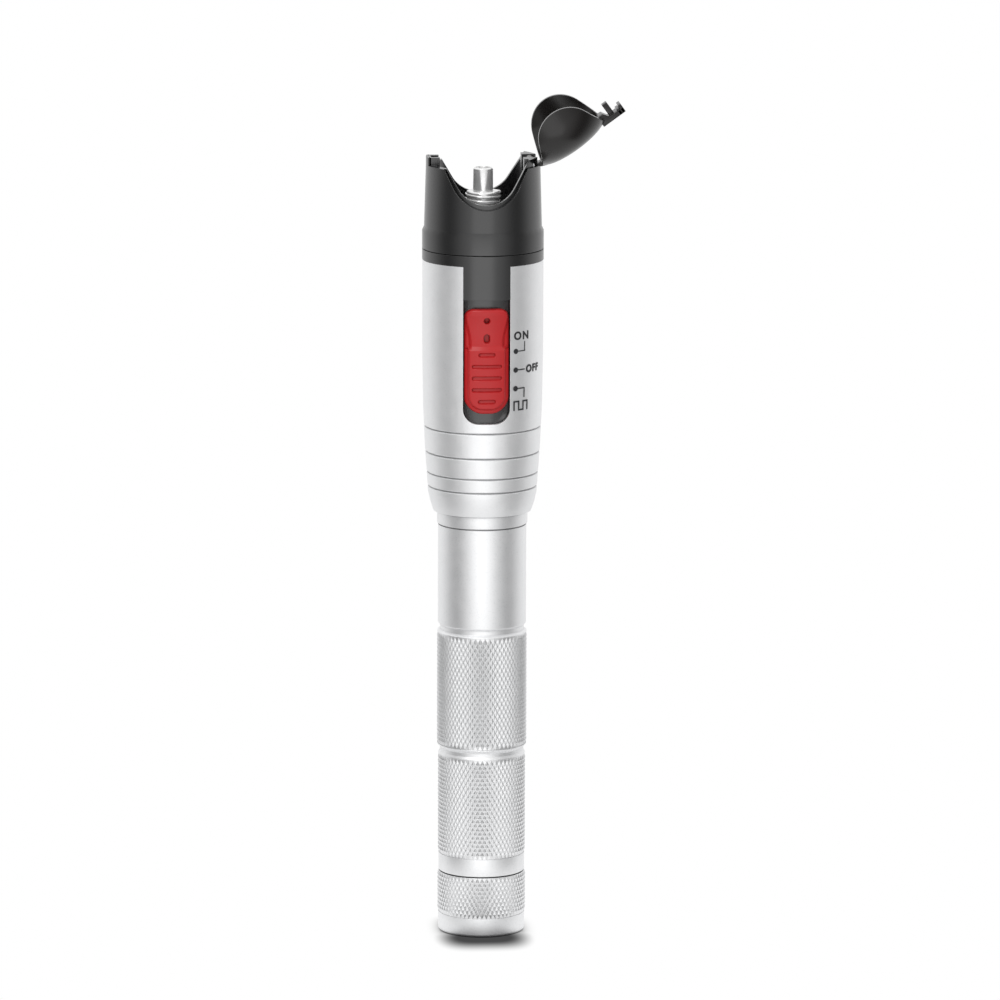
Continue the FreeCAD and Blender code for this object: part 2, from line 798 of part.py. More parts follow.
def inner_chassis():
    """Black insert: a tube in the head, the collar above it and the tongue that fills the slot."""
    shelf_bore = S.head_spigot_radius + S.turn_fit
    shelf_top = S.board_top + S.chassis_shelf_len
    seat = S.head_top - S.collar_bore_depth
    corners = [
        (shelf_bore, S.ledge),
        (S.chassis_radius, S.ledge),
        (S.chassis_radius, S.head_top),
        (S.head_radius, S.head_top),
        (S.collar_radius, S.head_top + S.slip_fit),
        (S.collar_radius, S.collar_top),
        (S.collar_bore, S.collar_top),
        (S.collar_bore, seat),
        (S.chassis_bore, seat),
        (S.chassis_bore, shelf_top),
        (S.chassis_bore - S.chassis_shelf, shelf_top),
        (S.chassis_bore - S.chassis_shelf, S.board_top),
        (shelf_bore, S.board_top),
    ]
    insert = revolve("chassis insert", corners)
    side = S.slot_width / 2 - S.tongue_side_gap
    overlap = S.collar_len / 2
    flush = tube("tongue ring", S.head_radius, S.chassis_radius - S.slip_fit,
                 S.tongue_low, S.head_top + overlap)
    tongue_block = box("tongue block", (-side, side), (-S.collar_radius, -S.chassis_wall),
                       (S.tongue_low, S.head_top + overlap))
    tongue = common("tongue", flush, tongue_block)
    body = fuse("chassis body", [insert, tongue])
    reach = S.knob_travel + S.actuator_half_len + S.part_gap
    window = box("switch window", (-S.window_half_width, S.window_half_width),
                 (-S.head_radius, -S.chassis_bore + 2 * S.chassis_shelf),
                 (S.knob_mid - reach, S.knob_mid + reach))
    node(cut("inner_chassis", body, window))


# ---- switch and circuit board --------------------------------------------------------------------

def rounded_plate(label, half, low, high, top_round, low_round, depth):
    """A plate with an upright rounded outline, grown towards -Y."""
    corners = [
        (-half + low_round, low),
        (half - low_round, low),
        (half, low + low_round),
        (half, high - top_round),
        (half - top_round, high),
        (-half + top_round, high),
        (-half, high - top_round),
        (-half, low + low_round),
    ]
    arcs = {
        1: (low_round, True),
        3: (top_round, True),
        5: (top_round, True),
        7: (low_round, True),
    }
    return prism(label, corners, arcs, depth)


def grip_rib(number):
    """One of the cross grooves of the grip: a bar with round ends; the outer two are shorter."""
    height = S.knob_low + S.pad_len - S.rib_first - number * S.rib_pitch
    outermost = number in (0, int(SIZES["rib_count"]) - 1)
    reach = (S.rib_short if outermost else S.rib_long) / 2 - S.rib_width / 2
    floor = S.knob_back + S.knob_plate_thick + S.knob_pad_rise - S.rib_depth
    far = floor + 2 * S.rib_depth + S.knob_pad_rise
    bar = box(f"grip bar {number}", (-reach, reach), (-far, -floor),
              (height - S.rib_width / 2, height + S.rib_width / 2))
    ends = []
    for side in (-1, 1):
        end = cross_cylinder(f"grip bar end {number}", S.rib_width / 2, (far - floor) / 2,
                             side * reach, height)
        bind(end, "Placement.Base.y", -far)
        ends.append(end)
    return fuse(f"grip groove {number}", [bar] + ends)


def slider_knob():
    """Slide button: thin plate on the chassis, a finger dish above and a grooved grip pad below."""
    half = S.knob_width / 2
    face = S.knob_back + S.knob_plate_thick
    pad_face = face + S.knob_pad_rise
    reach = pad_face + S.knob_plate_thick
    plate = common("knob plate",
                   rounded_plate("knob outline", half, S.knob_low, S.knob_top,
                                 S.knob_top_round, S.knob_low_round, reach),
                   tube("knob plate ring", face, S.knob_back, S.knob_low, S.knob_top))
    pad_top = S.knob_low + S.pad_len
    pad = common("grip pad",
                 rounded_plate("pad outline", half - S.pad_inset, S.knob_low + S.pad_inset, pad_top,
                               S.pad_top_round, S.knob_low_round - S.pad_inset, reach),
                 tube("pad ring", pad_face, S.knob_back, S.knob_low, pad_top))
    body = fuse("knob blank", [plate, pad])
    dish = DOC.addObject("Part::Cylinder", "Dish")
    dish.Label = "finger dish"
    bind(dish, "Radius", S.dish_radius)
    bind(dish, "Height", 2 * S.knob_width)
    dish.Placement = FreeCAD.Placement(FreeCAD.Vector(), FreeCAD.Rotation(FreeCAD.Vector(0, 1, 0), 90))
    bind(dish, "Placement.Base.x", -S.knob_width)
    bind(dish, "Placement.Base.y", -(face - S.dish_depth + S.dish_radius))
    bind(dish, "Placement.Base.z", (pad_top + S.knob_top) / 2)
    dish_zone = box("dish zone", (-half, half), (-reach, 0), (pad_top, S.knob_top + 1))
    body = cut("knob with dish", body, common("dish cut", dish, dish_zone))
    ribs = [grip_rib(number) for number in range(int(SIZES["rib_count"]))]
    body = cut("knob with grooves", body, fuse("grip grooves", ribs))
    round_at = S.knob_top - S.round_hole_from_top
    oval_at = S.knob_top - S.oval_hole_from_top
    lift = S.oval_hole_stretch / 2
    holes = [cross_cylinder("round hole", S.round_hole, reach, 0, round_at)]
    for side in (-1, 1):
        holes.append(cross_cylinder("oval hole end", S.oval_hole, reach, 0, oval_at + side * lift))
    holes.append(box("oval hole middle", (-S.oval_hole, S.oval_hole), (-reach, reach),
                     (oval_at - lift, oval_at + lift)))
    node(cut("slider_knob", body, fuse("knob holes", holes)))


def slide_switch():
    """Metal-cased slide switch on the board, and its lever that the knob carries."""
    case_back = S.pcb_back + S.pcb_thick
    case_front = case_back + S.switch_depth
    width, length, wall = S.switch_half_width, S.switch_half_len, S.switch_wall
    case = box("switch case", (-width, width), (-case_front, -case_back),
               (S.knob_mid - length, S.knob_mid + length))
    hollow = box("switch hollow", (-width + wall, width - wall),
                 (-case_front + wall, -case_back - wall),
                 (S.knob_mid - length + wall, S.knob_mid + length - wall))
    reach = S.knob_travel + S.actuator_half_len + S.part_gap
    play = S.actuator_half_width + S.part_gap
    slit = box("switch slit", (-play, play), (-case_front - 1, -case_front + 2 * wall),
               (S.knob_mid - reach, S.knob_mid + reach))
    node(cut("slide_switch_case", case, fuse("switch inside", [hollow, slit])))
    lever_front = S.knob_back - S.turn_fit
    node(box("switch_lever", (-S.actuator_half_width, S.actuator_half_width),
             (-lever_front, -case_back - wall - S.part_gap),
             (S.knob_mid - S.actuator_half_len, S.knob_mid + S.actuator_half_len)))


def circuit_board():
    """Driver board standing on the contact board, with its driver chip on the back."""
    pcb_front = S.pcb_back + S.pcb_thick
    node(box("circuit_board", (-S.pcb_half_width, S.pcb_half_width), (-pcb_front, -S.pcb_back),
             (S.board_top, S.board_top + S.pcb_len)))
    chip_low = S.board_top + S.chip_from_board
    node(box("driver_chip", (-S.chip_width / 2, S.chip_width / 2),
             (-S.pcb_back, -S.pcb_back + S.chip_thick), (chip_low, chip_low + S.chip_len)))


# ---- laser and connector ---------------------------------------------------------------------------

def laser_module():
    """Brass tube with the diode at the rear, the beam bore, then the lens and its ring in front."""
    seat_top = S.laser_low + S.laser_seat_len
    corners = [
        (S.laser_seat_bore, S.laser_low),
        (S.laser_radius, S.laser_low),
        (S.laser_radius, S.laser_top),
        (S.laser_front_bore, S.laser_top),
        (S.laser_front_bore, S.lens_low),
        (S.laser_beam_bore, S.lens_low),
        (S.laser_beam_bore, seat_top),
        (S.laser_seat_bore, seat_top),
    ]
    node(revolve("laser_housing", corners))
    base_low = S.laser_low + S.diode_set_in
    base_top = base_low + S.diode_base_thick
    can_top = base_top + S.diode_can_len
    corners = [
        (0, base_low),
        (S.diode_base_radius, base_low),
        (S.diode_base_radius, base_top),
        (S.diode_can_radius, base_top),
        (S.diode_can_radius, can_top),
        (0, can_top),
    ]
    node(revolve("laser_diode", corners))
    edge = S.lens_low + S.lens_edge
    corners = [
        (0, S.lens_low),
        (S.lens_radius, S.lens_low),
        (S.lens_radius, edge),
        (S.lens_ring_bore, edge),
        (S.lens_ring_bore / 2, edge + S.lens_bulge),
        (0, edge + S.lens_bulge),
    ]
    node(revolve("lens", corners))
    ring_low = edge
    node(tube("lens_ring", S.lens_radius, S.lens_ring_bore, ring_low, ring_low + S.lens_ring_len))


def diode_leads():
    """Three straight legs below the diode, each with a cross leg soldered into the board."""
    half = S.lead_radius
    top = S.laser_low + S.diode_set_in
    low = S.laser_low - S.lead_drop
    legs = []
    for place in (-1, 0, 1):
        across = place * S.lead_spread
        sides = (across - half, across + half)
        legs.append(box(f"diode leg {place}", sides, (-half, half), (low, top)))
        legs.append(box(f"diode cross leg {place}", sides, (-S.pcb_back, half), (low, low + 2 * half)))
    tie = box("diode leg spacer", (-S.lead_spread - half, S.lead_spread + half), (-2 * half, 2 * half),
              (top - 2 * half, top))
    node(fuse("diode_leads", legs + [tie]))


def connector():
    """Stub on its flange, held by a nut on the nose's floor, with guide tube and ceramic sleeve."""
    sleeve_low = S.flange_low - S.connector_sleeve_len
    seat = S.laser_radius + S.turn_fit
    tube_seat = S.tube_radius + S.turn_fit
    corners = [
        (seat, sleeve_low),
        (S.connector_sleeve_radius, sleeve_low),
        (S.connector_sleeve_radius, S.flange_low),
        (S.connector_flange_radius, S.flange_low),
        (S.connector_flange_radius, S.floor_low),
        (S.stub_radius, S.floor_low),
        (S.stub_radius, S.stub_top - S.stub_chamfer),
        (S.stub_radius - S.stub_chamfer, S.stub_top),
        (tube_seat, S.stub_top),
        (tube_seat, S.tube_low),
        (S.connector_light_hole, S.tube_low),
        (S.connector_light_hole, S.flange_low),
        (seat, S.flange_low),
    ]
    node(revolve("connector_body", corners))
    blank = DOC.addObject("Part::Prism", "Prism")
    blank.Label = "nut blank"
    blank.Polygon = 6
    bind(blank, "Circumradius", S.nut_flats / as_dim(3).sqrt())
    bind(blank, "Height", S.nut_thick)
    bind(blank, "Placement.Base.z", S.floor_top)
    bore = cylinder("nut bore", S.stub_radius + S.slip_fit, S.floor_top - 1, S.floor_top + S.nut_thick + 1)
    node(cut("connector_nut", blank, bore))
    corners = [
        (S.tube_bore, S.tube_low),
        (S.tube_radius, S.tube_low),
        (S.tube_radius, S.tube_top - S.tube_chamfer),
        (S.tube_radius - S.tube_chamfer, S.tube_top),
        (S.tube_bore, S.tube_top),
    ]
    node(revolve("ferrule_tube", corners))
    sleeve_top = S.tube_top - S.sleeve_set_in
    node(tube("ferrule_sleeve", S.tube_bore - S.turn_fit, S.sleeve_bore, sleeve_top - S.sleeve_len,
              sleeve_top))


# ---- nose, hinge and dust cap ------------------------------------------------------------------------

def nose_skin():
    """Outer skin of the nose: turned, cut lower than the lip by the wide U."""
    step_low = S.nose_low + S.nose_base_len
    step_top = step_low + S.nose_step_len
    skin_top = S.horn_top - S.nose_skin_drop
    corners = [
        (S.nose_lip_radius, S.nose_low),
        (S.collar_radius, S.nose_low),
        (S.collar_radius, step_low),
        (S.nose_step_radius, step_top),
        (S.nose_top_radius, skin_top),
        (S.nose_lip_radius, skin_top),
    ]
    skin = revolve("nose skin blank", corners)
    wide = u_prism("wide U", S.u_skin_radius, S.u_skin_flare, S.horn_top + 2, 3 * S.collar_radius)
    return cut("nose skin", skin, wide)


def nose_core():
    """Inner wall, lip, floor with the connector hole and the spigot that enters the collar."""
    lip_bore = S.nose_bore
    spigot = S.collar_bore - S.slip_fit
    spigot_low = S.nose_low - S.nose_spigot_len
    hole = S.stub_radius + S.slip_fit
    corners = [
        (spigot - S.nose_spigot_wall, spigot_low),
        (spigot, spigot_low),
        (spigot, S.nose_low),
        (S.nose_lip_radius, S.nose_low),
        (S.nose_lip_radius, S.horn_top),
        (lip_bore, S.horn_top),
        (lip_bore, S.floor_top),
        (hole, S.floor_top),
        (hole, S.floor_low),
        (spigot - S.nose_spigot_wall, S.floor_low),
    ]
    core = revolve("nose core blank", corners)
    narrow = u_prism("narrow U", S.u_lip_radius, S.u_lip_flare, S.horn_top + 2, 3 * S.collar_radius)
    return cut("nose core", core, narrow)


def nose_housing():
    """Black nose: skin and core in one, ears for the hinge pin, slots for arm and latch prong."""
    ear_low = S.horn_top - S.ear_depth
    ear_start = S.knuckle_half_len + S.part_gap
    ears = []
    for side in (-1, 1):
        near, far = side * ear_start, side * S.ear_end
        ys = (near, far) if side > 0 else (far, near)
        ears.append(box("hinge ear", (S.ear_inner, S.ear_outer), ys, (ear_low, S.horn_top)))
    limit = cylinder("ear limit", S.nose_lip_radius, ear_low, S.horn_top)
    ears = common("hinge ears", fuse("ear blocks", ears), limit)
    blank = fuse("nose blank", [nose_skin(), nose_core(), ears])
    sill = S.hinge_across + S.sill_across
    arm_slot = box("arm slot", (S.ear_inner, sill), (-ear_start, ear_start), (ear_low, S.horn_top + 1))
    sill_cut = box("arm sill", (sill - 1, S.collar_radius + 1), (-ear_start, ear_start),
                   (S.hinge_height - S.sill_drop, S.horn_top + 1))
    prong_low = S.latch_low - S.prong_len - 2 * S.part_gap
    prong_slot = box("latch pocket",
                     (-S.nose_bore - S.prong_half_thick - S.part_gap, -S.nose_bore + 1),
                     (-S.prong_half_width - 2 * S.part_gap, S.prong_half_width + 2 * S.part_gap),
                     (prong_low, S.horn_top + 1))
    pin_hole = cross_cylinder("pin hole", S.pin_radius, S.pin_half_len + S.part_gap,
                              S.hinge_across, S.hinge_height)
    node(cut("nose_housing", blank, fuse("nose cuts", [arm_slot, sill_cut, prong_slot, pin_hole])))


def hinge_pin():
    node(cross_cylinder("hinge_pin", S.pin_radius, S.pin_half_len, S.hinge_across, S.hinge_height))


def dome_bands(wall_in, steps):
    """Corners of a dome's upright section from rim to crown: a round shoulder, then a flatter crown.

    wall_in sets the section in by a wall; steps are the shoulder's angles in degrees.
    """
    inset = S.cap_radius - S.cap_corner
    slant = S.cap_crown - S.cap_corner
    drop = S.cap_crown - (slant * slant - inset * inset).sqrt()
    shoulder_up = S.crown_top - drop
    crown_centre = S.crown_top - S.cap_crown
    shoulder = S.cap_corner - wall_in
    crown = S.cap_crown - wall_in
    points = []
    for angle in steps:
        turn = math.radians(angle)
        points.append((inset + shoulder * math.cos(turn), shoulder_up + shoulder * math.sin(turn)))
    meet = crown * inset / slant
    for across in (meet, meet / 2):
        points.append((across, crown_centre + (crown * crown - across * across).sqrt()))
    points.append((0, S.crown_top - wall_in))
    return points


def cap_shell():
    """Dome shell of the closed cap, cut to the narrow U so that it nests inside the lip."""
    bore = S.cap_radius - S.cap_wall
    outside = dome_bands(as_dim(0), (0, 20, 40, 60))
    inside = dome_bands(S.cap_wall, (0, 26, 52))
    corners = [(bore, S.cap_low), (S.cap_radius, S.cap_low)] + outside + inside[::-1]
    dome = revolve("cap dome", corners)
    nest = u_prism("cap U", S.cap_u_radius, S.cap_u_flare, S.crown_top + 2, 3 * S.cap_radius)
    return common("cap shell", dome, nest)


def dust_cap():
    """Hinged cap: dome shell, arm with knuckle on the pin, latch plate with prong; shown open."""
    shell = cap_shell()
    half = S.knuckle_half_len
    knuckle = cross_cylinder("knuckle", S.knuckle_radius, half, S.hinge_across, S.hinge_height)
    corners = [
        (S.hinge_across, S.hinge_height + S.knuckle_radius - S.turn_fit),
        (S.root_across, S.hinge_height + S.arm_rise),
        (S.root_across - S.arm_thick / 2, S.hinge_height + S.arm_rise - S.arm_thick),
        (S.hinge_across - S.arm_thick, S.hinge_height - S.arm_thick),
    ]
    arm = prism("hinge arm", corners, None, 2 * half, both_ways=True)
    plate_low, plate_top = S.latch_low, S.latch_top
    width = S.latch_half_width
    plate = box("latch plate", (-S.collar_radius, -S.root_across), (-width, width), (plate_low, plate_top))
    prong = box("latch prong",
                (-S.nose_bore - S.prong_half_thick, -S.nose_bore + S.prong_half_thick),
                (-S.prong_half_width, S.prong_half_width), (plate_low - S.prong_len, plate_top))
    nail = box("thumb nail", (-S.collar_radius, -S.collar_radius + S.nail_thick), (-width, width),
               (plate_low - S.nail_len, plate_top))
    nib_left = -S.collar_radius + S.nib_from_end
    nib = box("latch nib", (nib_left, nib_left + S.nail_thick), (-width, width),
              (plate_low - S.nib_len, plate_top))
    blank = fuse("cap blank", [shell, knuckle, arm, plate, prong, nail, nib])
    bore = cross_cylinder("knuckle bore", S.pin_radius + S.turn_fit, 2 * half,
                          S.hinge_across, S.hinge_height)
    cap = cut("dust_cap", blank, bore)
    pivot = FreeCAD.Vector(S.hinge_across.value, 0, S.hinge_height.value)
    opened = FreeCAD.Rotation(FreeCAD.Vector(0, 1, 0), SIZES["open_angle"])
    cap.Placement = FreeCAD.Placement(FreeCAD.Vector(), opened, pivot)
    node(cap)


# ---- build, check and write -----------------------------------------------------------------------

def build():
    tail_cap()
    tail_contact()
    barrel()
    o_rings()
    battery_cells()
    front_contacts()
    head_shell()
    inner_chassis()
    slider_knob()
    slide_switch()
    circuit_board()
    laser_module()
    diode_leads()
    connector()
    nose_housing()
    hinge_pin()
    dust_cap()
    DOC.recompute()


def check():
    """Stop if any object failed or any sub-part isn't one valid solid."""
    for item in DOC.Objects:
        if "Invalid" in item.State or "Error" in item.State:
            raise SystemExit(f"{item.Label}: {item.State}")
    for item in NODES:
        shape = item.Shape
        if shape.isNull() or not shape.isValid() or len(shape.Solids) != 1:
            raise SystemExit(f"{item.Label}: not one valid solid ({len(shape.Solids)})")


def write():
    os.makedirs("parts", exist_ok=True)
    for item in NODES:
        item.Shape.exportStep(os.path.join("parts", item.Label + ".step"))
        low, high = item.Shape.BoundBox.ZMin, item.Shape.BoundBox.ZMax
        print(f"{item.Label:22s} {item.Shape.Volume:10.2f} mm3  z {low:8.2f} to {high:8.2f}")
    print(len(NODES), "sub-parts")


build()
check()
write()
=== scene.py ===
# %% [markdown]
# # A visual fault locator, dressed for its portrait
#
# A pen-shaped tester for optical fibre: a knurled aluminium barrel, a tapered head with a red
# slide button, and a black nose whose dust cap stands open. Its construction is fixed in CAD. Here
# every surface gets its finish, and the forms too fine for the construction are added.

from math import acos, atan2, cos, hypot, pi, radians, sin, sqrt

import bmesh
import bpy
from mathutils import Matrix, Quaternion, Vector


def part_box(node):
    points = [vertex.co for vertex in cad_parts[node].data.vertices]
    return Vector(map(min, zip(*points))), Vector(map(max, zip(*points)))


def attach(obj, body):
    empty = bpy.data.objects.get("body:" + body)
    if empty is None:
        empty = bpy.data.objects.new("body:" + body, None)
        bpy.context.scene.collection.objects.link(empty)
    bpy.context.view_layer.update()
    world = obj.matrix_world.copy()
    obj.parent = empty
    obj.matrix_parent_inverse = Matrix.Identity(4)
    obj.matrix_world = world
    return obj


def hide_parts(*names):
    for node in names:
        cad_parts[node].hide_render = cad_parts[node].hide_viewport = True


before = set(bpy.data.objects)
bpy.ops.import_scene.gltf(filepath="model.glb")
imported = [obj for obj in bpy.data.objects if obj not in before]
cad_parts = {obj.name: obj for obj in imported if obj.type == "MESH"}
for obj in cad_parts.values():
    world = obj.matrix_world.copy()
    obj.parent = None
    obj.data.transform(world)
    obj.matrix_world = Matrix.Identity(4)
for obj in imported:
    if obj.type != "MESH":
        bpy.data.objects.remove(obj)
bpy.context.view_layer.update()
MM = 0.001

# %% [markdown]
# ## Measures from the frame
#
# Every added piece sits on a CAD piece, so its place is read from the frame, in millimetres. Other
# sizes are written further down, each once, where the piece is made.

# %% Heights of the main pieces


def low_mm(node):
    """The lowest corner of a CAD node."""
    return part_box(node)[0] / MM


def high_mm(node):
    """The highest corner of a CAD node."""
    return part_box(node)[1] / MM


TAIL_TOP = high_mm("tail_cap").z
BARREL_LOW = low_mm("barrel").z
BARREL_TOP = high_mm("barrel").z
HEAD_LOW = low_mm("head_shell").z
HEAD_RADIUS = high_mm("head_shell").x
HORN_TOP = high_mm("nose_housing").z
PIN_ACROSS = (low_mm("hinge_pin").x + high_mm("hinge_pin").x) / 2
PIN_HEIGHT = (low_mm("hinge_pin").z + high_mm("hinge_pin").z) / 2
KNOB_LOW, KNOB_HIGH = low_mm("slider_knob").z, high_mm("slider_knob").z
KNOB_MIDDLE = (KNOB_LOW + KNOB_HIGH) / 2
print(f"tail cap to {TAIL_TOP:.1f}, head from {HEAD_LOW:.1f}, horns to {HORN_TOP:.1f}")

# %% [markdown]
# ## Shader maths that reads like arithmetic
#
# A material is mostly small sums, and in Blender each of them is a Math node. One small class
# wraps a socket and lets ordinary operators add these nodes. A second class holds the tree.

# %% Signals and graphs


def by(operation):
    """A method that sends its numbers through one Math node."""
    return lambda signal, *others: signal.math(operation, signal, *others)


class Signal:
    """A number in a node tree; plain arithmetic adds the nodes."""

    def __init__(self, graph, socket):
        self.graph = graph
        self.socket = socket

    def math(self, operation, *values):
        numbers = dict(enumerate(values))
        made = self.graph.first("ShaderNodeMath", numbers, {"operation": operation})
        return Signal(self.graph, made)

    __add__ = __radd__ = by("ADD")
    __sub__ = by("SUBTRACT")
    __mul__ = __rmul__ = by("MULTIPLY")
    __truediv__ = by("DIVIDE")
    __pow__ = by("POWER")
    __gt__ = by("GREATER_THAN")
    __lt__ = by("LESS_THAN")
    absolute = by("ABSOLUTE")
    nearest = by("ROUND")
    cosine = by("COSINE")
    sine = by("SINE")

    def __rsub__(self, other):
        return self.math("SUBTRACT", other, self)

    def clamped(self):
        """The same number, kept between 0 and 1."""
        return self.math("MINIMUM", self.math("MAXIMUM", self, 0.0), 1.0)


class Graph:
    """A node tree and the one method that adds nodes to it."""

    def __init__(self, tree):
        self.tree = tree

    def node(self, kind, settings=None, inputs=None):
        """A new node with its settings and its sockets' values or links."""
        made = self.tree.nodes.new(kind)
        for name, value in (settings or {}).items():
            setattr(made, name, value)
        for name, value in (inputs or {}).items():
            self.feed(made.inputs[name], value)
        return made

    def feed(self, socket, value):
        """Link a signal or socket to a socket, or set its plain value."""
        if isinstance(value, Signal):
            value = value.socket
        if isinstance(value, bpy.types.NodeSocket):
            self.tree.links.new(value, socket)
        else:
            socket.default_value = value

    def first(self, kind, inputs=None, settings=None):
        """The first output of a new node."""
        return self.node(kind, settings, inputs).outputs[0]

    def signal(self, made, output=0):
        return Signal(self, made.outputs[output])

    def axes(self, vector):
        """The three coordinates of a vector."""
        split = self.node("ShaderNodeSeparateXYZ", None, {0: vector})
        return [self.signal(split, axis) for axis in range(3)]

    def sight(self):
        """1 for what is seen, mirrored or seen through, 0 for light that only falls."""
        path = self.node("ShaderNodeLightPath")
        seen, mirrored, through = (self.signal(path, output) for output in (0, 3, 6))
        return (seen + mirrored + through).clamped()


print("Signal and Graph are ready")

# %% [markdown]
# ## One class for every finish
#
# All finishes read the Object coordinates, turned into millimetres, so a grain stays in its place
# and needs no unwrapping.

# %% The finish class


def tone(red, green, blue):
    """A screen colour, 0 to 255 a channel, as a linear colour for a socket."""
    linear = []
    for channel in (red, green, blue):
        share = channel / 255
        linear.append(share / 12.92 if share <= 0.04045 else ((share + 0.055) / 1.055) ** 2.4)
    return (*linear, 1.0)


class Finish(Graph):
    """A material: Principled constants first, then what varies over its surface."""

    def __init__(self, name, **constants):
        self.material = bpy.data.materials.new(name)
        self.material.use_nodes = True
        super().__init__(self.material.node_tree)
        self.shader = self.tree.nodes["Principled BSDF"]
        for socket, value in constants.items():
            self.shader.inputs[socket.replace("_", " ")].default_value = value
        place = self.node("ShaderNodeTexCoord").outputs["Object"]
        scale = {"operation": "SCALE"}
        self.mm = self.first("ShaderNodeVectorMath", {0: place, 3: 1 / MM}, scale)
        self.x, self.y, self.z = self.axes(self.mm)

    def noise(self, per_mm, detail=2.0, stretch=(1, 1, 1)):
        """Soft noise between 0 and 1, with so many grains to the millimetre."""
        place = self.first("ShaderNodeMapping", {0: self.mm, 3: stretch})
        made = self.node("ShaderNodeTexNoise", None, {0: place, "Scale": per_mm, "Detail": detail})
        return self.signal(made)

    def crowding(self, reach_mm, samples=8):
        """0 in the open, towards 1 where other surfaces are near."""
        reach = {"Distance": reach_mm * MM}
        near = self.node("ShaderNodeAmbientOcclusion", {"samples": samples}, reach)
        return 1.0 - self.signal(near, 1)

    def between(self, factor, *ends):
        """From one screen colour or socket to another, as the factor goes from 0 to 1."""
        one, other = (tone(*end) if isinstance(end, tuple) else end for end in ends)
        made = self.node("ShaderNodeMix", {"data_type": "RGBA"}, {0: factor, 6: one, 7: other})
        return made.outputs[2]

    def surface(self, colour, roughness, height, depth_mm, edge_mm=0.0):
        """Colour, gloss, bumps of a real depth, and edges that catch light as if rounded."""
        sockets = {"Height": height, "Distance": depth_mm * MM}
        if edge_mm:
            reach = {"Radius": edge_mm * MM}
            sockets["Normal"] = self.first("ShaderNodeBevel", reach, {"samples": 6})
        bump = self.first("ShaderNodeBump", sockets)
        varying = {"Base Color": colour, "Roughness": roughness, "Normal": bump}
        for socket, value in varying.items():
            self.feed(self.shader.inputs[socket], value)
        return self

    def show(self, factor, one, other):
        """Show a mix of two shaders instead of the Principled one alone."""
        mixed = self.first("ShaderNodeMixShader", {0: factor, 1: one, 2: other})
        self.feed(self.tree.nodes["Material Output"].inputs[0], mixed)
        return self


print("Finish is ready")

# %% [markdown]
# ## Aluminium
#
# Blasted with fine beads and clear anodised. A metallic shader of medium roughness gives the soft,
# wide highlight. A fine noise bends the normal, and a coarse one changes colour and roughness.

# %% Aluminium finishes
# The grey of the painted shade in creases of the aluminium.
CREASE_SHADE_GREY = (118, 118, 120)
METAL_EDGE = 0.12


def aluminium(name, bright, rough, grain_mm, patchy, shade_reach_mm=0.45):
    """Blasted aluminium with painted shade in its creases; patchy says how uneven its sheen is."""
    made = Finish(name, Metallic=1.0)
    fine = made.noise(7.0, 3.0)
    patches = made.noise(0.35, 4.0)
    specks = (made.noise(3.2, 1.0) - 0.56).clamped() * 6.0
    darker = (bright - 14, bright - 13, bright - 12)
    lighter = (bright, bright, bright + 1)
    mix = (fine * 0.35 + patches * 0.65 - specks * patchy).clamped()
    metal = made.between(mix, darker, lighter)
    # Painted shade: the colour turns grey in creases, where other surfaces are near.
    if shade_reach_mm:
        metal = made.between((made.crowding(shade_reach_mm) * 1.6).clamped(), metal, CREASE_SHADE_GREY)
    dull = patches * (0.12 * patchy) + fine * 0.08 + (rough - 0.08)
    return made.surface(metal, dull, fine, grain_mm, METAL_EDGE)


head_metal = aluminium("head_aluminium", 251, 0.52, 0.006, 0.3)
barrel_metal = aluminium("barrel_aluminium", 251, 0.48, 0.009, 0.5)
knurl_metal = aluminium("knurled_aluminium", 244, 0.42, 0.004, 0.3, shade_reach_mm=0.0)
print("aluminium finishes ready")

# %% [markdown]
# ## Moulded plastic
#
# Nose, collar and cap are black plastic with a fine texture, and the button is the same in red.
# Flow in the mould leaves slow changes in gloss.

# %% Plastic finishes
# How far the painted shade in creases of the plastic reaches.
SHADE_REACH = 0.4


def moulded(name, dark, light, rough, grain_mm, edge_mm, gloss=0.5, crease_shade=None):
    """Moulded plastic between two close shades, if wanted with painted shade in its creases."""
    made = Finish(name, IOR=1.49, Specular_IOR_Level=gloss)
    fine = made.noise(9.0)
    flow = made.noise(0.12, 3.0, (1, 1, 0.4))
    body = made.between((fine * 0.4 + flow * 0.6).clamped(), dark, light)
    # Painted shade: creases and pits take a darker colour where other surfaces are near.
    if crease_shade:
        crease_shade_share = (made.crowding(SHADE_REACH) * 1.25 - 0.1).clamped()
        body = made.between(crease_shade_share, body, crease_shade)
    dull = flow * 0.10 + fine * 0.08 + (rough - 0.09)
    return made.surface(body, dull, fine, grain_mm, edge_mm)


nose_plastic = moulded("nose_plastic", (11, 11, 12), (17, 17, 18), 0.24, 0.004, 0.15, gloss=1.0)
# The cap's slight warm brown is a painted reflection of something brownish.
cap_plastic = moulded("cap_plastic", (13, 10, 9), (20, 17, 15), 0.24, 0.002, 0.15)
# The button's dark red is painted shade in its slots and holes.
red_plastic = moulded("red_plastic", (182, 28, 32), (194, 36, 38), 0.36, 0.002, 0.0,
                      gloss=0.4, crease_shade=(46, 4, 6))
switch_plastic = moulded("switch_plastic", (30, 30, 32), (40, 40, 42), 0.5, 0.004, 0.1)
print("plastic finishes ready")

# %% [markdown]
# ## Small parts inside
#
# An opened tail or a look down the nose shows some of them, so each gets a finish of its own.

# %% Bright metals
STAIN = 22


def turned_metal(name, shade, rough, lines_per_mm, metallic=1.0, grain_mm=0.002):
    """A turned and polished metal: faint rings and slight stains."""
    made = Finish(name, Metallic=metallic)
    rings = made.noise(1.0, 2.0, (0.3, 0.3, lines_per_mm))
    stained = tuple(channel - STAIN for channel in shade)
    metal = made.between(made.noise(0.8, 3.0), stained, shade)
    return made.surface(metal, rings * 0.10 + (rough - 0.05), rings, grain_mm, 0.08)


